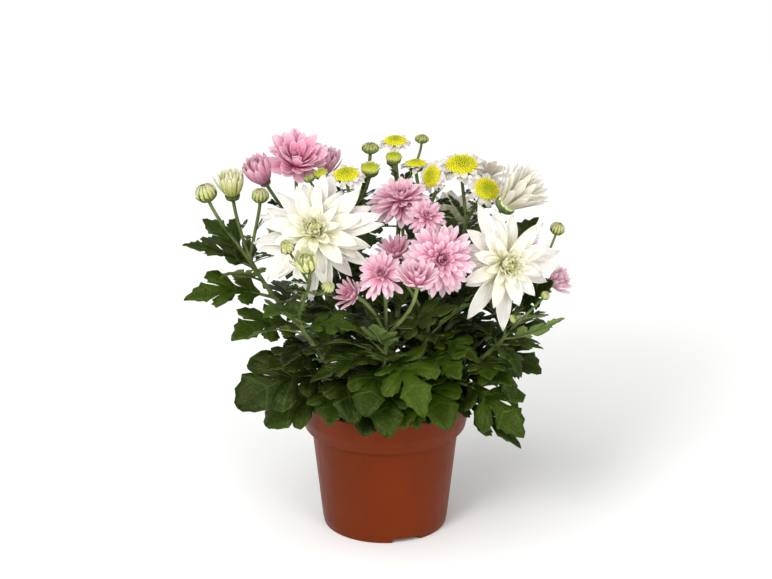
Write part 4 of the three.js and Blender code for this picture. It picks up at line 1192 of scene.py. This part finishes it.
def hairs_on(curve, count, radius, rng):
    parts = []
    for _ in range(count):
        t = rng.uniform(0.02, 0.95)
        tangent = run(curve, t)[0]
        out = turned(*square_to(tangent), rng.uniform(0, math.tau))
        tilt = unit(out + tangent * rng.uniform(-0.2, 0.7))
        x, y, z = HAIR.co.T[:, :, None]
        a, b = square_to(tilt)
        length = rng.uniform(0.7, 1.3)
        start = at(curve, t)[0] + out * radius * 0.95
        parts.append(HAIR.copy(start + a * x + b * y + tilt * z * length, 0.5, [DOWN]))
    return parts


def make_stem(item, rng):
    line = Line()
    curve = item.curve
    bottom = np.array([*item.foot, SOIL_TOP - BURIED])
    line.add([bottom + (curve[0] - bottom) * share / 3 for share in range(4)], (STEM_RADIUS, STEM_RADIUS))
    line.add(curve, (STEM_RADIUS, STEM_TOP_RADIUS))
    parts = []
    for bloom in item.flowers:
        thin = THIN_STALK_RADIUS if bloom.r < 6 else STALK_RADIUS
        line.add(bloom.curve, (thin, thin * 1.05))
        parts += make_head(bloom, rng)
        parts += hairs_on(bloom.curve, STALK_HAIRS, thin, rng)
    parts += hairs_on(curve, STEM_HAIRS, 2, rng)
    for blade in item.blades:
        normal = leaf_frame(blade, np.array([0.0, 0.5, 0.92]))[2]
        path = blade.path
        bend = path[0] + (path[1] - path[0]) * 0.93
        under = [path[0], bend - normal[1] * 2.2, at(path, 0.93)[0] - normal[2] * 0.7]
        line.add(under, (0.85 * blade.size / LEAF_LENGTH + 0.12, 0.2), 6)
        parts.append(leaf_copy(blade, rng))
    name = item.name
    finish_piece([line.mesh(), *parts], f"stem_of_{name}", f"stem_{name}")


# --- blooms

# Layers of an open bloom: count, length and width as shares of the radius, rise, bend, hollow
# across, and how far the layer has the tone of the bloom's young middle.
OPEN = {
    "white": (POINTED, [
        (13, 1.09, .28, -2, 10, .14, 0), (12, 1.04, .27, 8, 16, .16, 0), (10, .84, .24, 20, 18, .2, 0),
        (9, .6, .18, 36, 8, .3, .05), (12, .46, .12, 48, -26, .4, .35), (12, .39, .1, 60, -46, .45, .6),
        (11, .32, .09, 72, -60, .5, .8)]),
    "pink": (STRAP, [
        (17, 1, .2, -6, 12, .22, 0), (17, .97, .19, 5, 14, .24, 0), (16, .88, .18, 17, 16, .26, 0),
        (15, .77, .17, 29, 14, .3, .05), (13, .64, .155, 42, 6, .34, .15), (12, .5, .13, 54, -10, .4, .35),
        (10, .38, .11, 66, -34, .45, .6), (9, .28, .09, 78, -50, .45, .85)]),
    "broad_pink": (ROUND, [
        (12, 1.12, .4, 26, 0, .14, 0), (12, 1.14, .38, 36, -2, .16, 0), (10, 1.1, .35, 46, -4, .18, 0),
        (7, .9, .3, 57, -8, .25, .15), (5, .5, .18, 70, -20, .4, .5)]),
}
# A bloom whose longest petals spread unevenly, as (degrees around the bloom, reach).
SPLAYED = [(109, 1.04), (68, 0.78), (38, 0.92), (2, 1.0), (-12, 0.97), (-30, 0.82), (-62, 0.6),
           (263, 1.08), (229, 1.06), (203, 0.7), (176, 0.62), (150, 0.66), (131, 0.82), (90, 0.86)]
COATS = {"white": [WHITE], "pink": [PINK], "deep_pink": [DEEP_PINK], "withered": [PALE]}


def tuft(seat, radius, count, height, mats, rng, pattern, size):
    """Young florets packed in the golden-angle spiral over a low dome."""
    parts = []
    for i in range(count):
        share = math.sqrt((i + 0.5) / count)
        out = turned(seat.side, seat.other, math.radians(i * GOLDEN_ANGLE))
        lean = unit(seat.axis + out * share * 0.7)
        a, b = square_to(lean)
        spot = seat.centre + out * radius * share + seat.axis * height * (1 - share ** 2)
        x, y, z = (pattern.co * size * rng.uniform(0.85, 1.15)).T[:, :, None]
        parts.append(pattern.copy(spot + a * x + b * y + lean * z,
                                  clamp(share ** 1.6 + rng.gauss(0, 0.16)), mats))
    return parts


def make_open(bloom, rng):
    seat = seat_of(bloom)
    r = bloom.r
    white = bloom.kind == "white"
    pattern, layers = OPEN["broad_pink" if bloom.name == "pink_back" else bloom.kind]
    mats = COATS[bloom.colour]
    core = r * (0.17 if white else 0.2)
    parts = [body_copy(BALL, seat, core * 0.98, 0.2, core * 1.0, 0.6, mats)]
    turn = rng.uniform(0, 90)
    splayed = bloom.name == "white_right"
    if splayed:
        for azimuth, reach in SPLAYED:
            parts.append(petal_copy(pattern, seat, azimuth, core * 0.4, 1.0, r * reach, r * 0.27,
                                    rng.uniform(0, 8), rng.uniform(4, 18), 0.16, rng.gauss(0, 14),
                                    0.0, mats, rng.gauss(0, 0.04)))
    loose, forward, high = (1.5, 0.26, 5) if white else (1.15, 0.15, 3)
    for k, (count, length, width, rise, bend, trough, tone) in enumerate(layers):
        if (splayed and k < 2) or (r < 20 and k in (1, 4)):
            continue
        parts += ring_of(pattern, seat, rng, count, r * length - core * 0.4, r * width, rise, bend,
                         core * 0.4, 1.0 + core * forward * k, trough, tone, mats, turn + k * 19, loose)
    crown = seat_of(bloom, 1.3 + core * (0.5 + high * forward))
    return parts + tuft(crown, core * 0.7, CENTRE_FLORETS, core * 0.55, [TUFT if white else PINK_TUFT],
                        rng, POINT_FLORET, core * 0.15)


# Blooms that are still cup-shaped: pattern, then layers of count, length and width as shares of
# the radius, rise, bend, hollow across, root as a share of the radius, and tone.
HALF = {
    "white_tip_bud": (QUILL, [
        (16, 1.22, .26, 52, -44, .25, .26, 0), (14, 1.22, .25, 62, -38, .25, .2, .1),
        (11, 1.16, .22, 73, -26, .3, .12, .2), (7, 1.06, .2, 82, -14, .3, .06, .3)]),
    "white_half_front": (QUILL, [
        (12, 1.15, .3, 32, -84, .3, .3, .5), (11, 1.05, .28, 52, -74, .3, .22, .4),
        (9, .95, .24, 70, -60, .3, .1, .6)]),
    "pink_half_left": (ROUND, [
        (12, 1.66, .46, 42, -60, .2, .22, .1), (11, 1.62, .42, 55, -56, .25, .16, .2),
        (8, 1.4, .36, 70, -36, .3, .1, .4)]),
    "pink_half_right": (ROUND, [
        (12, 1.6, .46, 42, -60, .2, .22, 0), (11, 1.56, .42, 55, -56, .25, .16, .1),
        (8, 1.4, .36, 70, -36, .3, .1, .3)]),
    "pink_bud": (STRAP, [
        (13, 1.15, .26, 30, -22, .3, .2, .1), (12, 1.05, .24, 46, -24, .3, .16, .4),
        (10, .9, .2, 62, -24, .3, .1, .8)]),
    "pink_half_front": (STRAP, [
        (14, .92, .26, 24, -22, .3, .18, 0), (13, .88, .24, 40, -18, .3, .14, .05),
        (11, .84, .2, 56, -14, .3, .1, .2), (9, .8, .17, 72, -10, .3, .06, .4)]),
    "pink_half_middle": (STRAP, [
        (14, 1.05, .26, 24, -14, .3, .18, .1), (12, .98, .23, 42, -16, .3, .14, .3),
        (10, .86, .19, 60, -16, .3, .1, .7)]),
    "pink_bud_right": (STRAP, [
        (13, 1.15, .28, 32, -44, .3, .2, .1), (11, 1.05, .26, 50, -40, .3, .16, .3),
        (9, .9, .22, 66, -34, .3, .1, .6)]),
    "white_half": (QUILL, [
        (11, .86, .19, 56, -2, .06, .16, .12), (10, .94, .18, 62, -2, .06, .13, .12),
        (9, .98, .17, 69, -2, .06, .1, .12), (7, .96, .16, 77, 0, .06, .07, .15),
        (4, .92, .14, 85, 0, .06, .03, .2)]),
    "withered": (STRAP, [
        (9, 1, .3, 22, 22, .5, .15, 0), (8, .9, .26, 40, 24, .5, .12, .2),
        (6, .7, .2, 62, 10, .5, .08, .5)]),
}


def make_half(bloom, rng):
    seat = seat_of(bloom)
    r = bloom.r
    pattern, layers = HALF[bloom.name]
    tipped = bloom.name in ("white_tip_bud", "white_half_front")
    mats = [WHITE_TIPPED] if tipped else COATS[bloom.colour]
    parts = [body_copy(BALL, seat, r * 0.22, 0.2, r * 0.3, 0.7, mats)]
    for k, (count, length, width, rise, bend, trough, root, tone) in enumerate(layers):
        parts += ring_of(pattern, seat, rng, count, r * length, r * width, rise, bend, r * root,
                         r * 0.03 * k, trough, tone, mats, k * 17, 0.8)
    return parts


def make_rays(bloom, rng):
    seat = seat_of(bloom)
    r = bloom.r
    parts = [body_copy(BALL, seat, r * 0.56, 0.2, r * 0.18, 0.4, [WHITE])]
    for count, length, rise, turn, lift in ((14, 0.8, 4, 0, 0.2), (12, 0.72, 16, 14, 0.6)):
        parts += ring_of(RAY, seat, rng, count, r * length, r * 0.34, rise, 24, r * 0.34, lift,
                         0.12, 0.0, [WHITE], turn, 1.3)
    return parts


def make_disc(bloom, rng):
    seat = seat_of(bloom, 1.6)
    wide = bloom.r * 0.72
    tall = bloom.r * 0.36
    parts = [body_copy(BALL, seat, wide * 0.94, 0.25, tall * 0.72, 0.1, [YELLOW])]
    return parts + tuft(seat, wide * 0.94, DISC_FLORETS, tall * 0.72, [YELLOW], rng, FLORET, wide * 0.1)


def make_cup(bloom, rng):
    seat = seat_of(bloom)
    r = bloom.r
    parts = [body_copy(BALL, seat, r * 0.9, r * 0.2, r * 0.45, 0.1, [YELLOW])]
    parts += tuft(seat, r * 0.92, CUP_FLORETS, r * 0.42, [YELLOW_GREEN], rng, FLORET, r * 0.085)
    return parts + ring_of(RAY, seat, rng, 16, r * 0.46, r * 0.34, 78, -26, r * 0.9, -0.3,
                           0.3, 0.3, [BUD_CREAM], 0, 0.9)


def make_bloom(bloom, rng):
    name, kind = bloom.name, bloom.kind
    if kind == "button":
        finish_piece(make_rays(bloom, rng), f"ray_ring_of_{name}", f"rays_{name}")
        finish_piece(make_disc(bloom, rng), f"yellow_disc_of_{name}", f"disc_{name}")
    elif kind == "cup":
        finish_piece(make_cup(bloom, rng), f"open_cup_of_{name}", f"florets_{name}")
    elif kind != "bud":
        maker = make_open if kind in OPEN else make_half
        finish_piece(maker(bloom, rng), f"bloom_{name}", f"petals_{name}")


# --- studio


LAMPS = [("key", (-1.3, -2.3, 2.0), 1.0, 46), ("front", (1.7, -2.6, 0.8), 1.4, 44)]


def make_studio():
    floor = primitive(bpy.ops.mesh.primitive_plane_add, "studio_floor", size=12)
    paper = Finish("pale studio paper", 0.9)
    paper.colour(paper.ramp(paper.noise(3, 2), (0.3, (244, 244, 243)), (0.7, (247, 247, 246))))
    materials(floor, paper.mat)
    world = bpy.context.scene.world or bpy.data.worlds.new("studio")
    bpy.context.scene.world = world
    world.use_nodes = True
    sky = world.node_tree.nodes["Background"]
    sky.inputs["Color"].default_value = (1, 1, 1, 1)
    sky.inputs["Strength"].default_value = 0.62
    bpy.context.scene.view_settings.view_transform = "Standard"
    sun = bpy.data.lights.new("window", "SUN")
    sun.energy = 1.3
    sun.angle = math.radians(60)
    aim(link("window", sun), Vector((0.35, 0.5, -0.8)))
    for name, place, size, power in LAMPS:
        lamp = bpy.data.lights.new(name, "AREA")
        lamp.size = size
        lamp.energy = power
        aim(link(name, lamp, place), Vector((0, 0, 0.15)) - Vector(place))


def aim(obj, way):
    obj.rotation_euler = way.to_track_quat("-Z", "Y").to_euler()


def make_camera():
    data = bpy.data.cameras.new("camera")
    data.sensor_width = CAMERA_SENSOR
    data.lens = CAMERA_LENS
    back = Vector(direction(0, CAMERA_ELEVATION))
    camera = link("camera", data, Vector(CAMERA_TARGET) + back * CAMERA_DISTANCE)
    aim(camera, -back)
    bpy.context.scene.camera = camera


make_camera()
make_studio()
make_pot()
make_soil()
fill_foliage(lay_out(), random.Random(5))
for number, part in enumerate(STEMS):
    make_stem(part, random.Random(100 + number))
    for index, head in enumerate(part.flowers):
        make_bloom(head, random.Random(1000 + number * 10 + index))
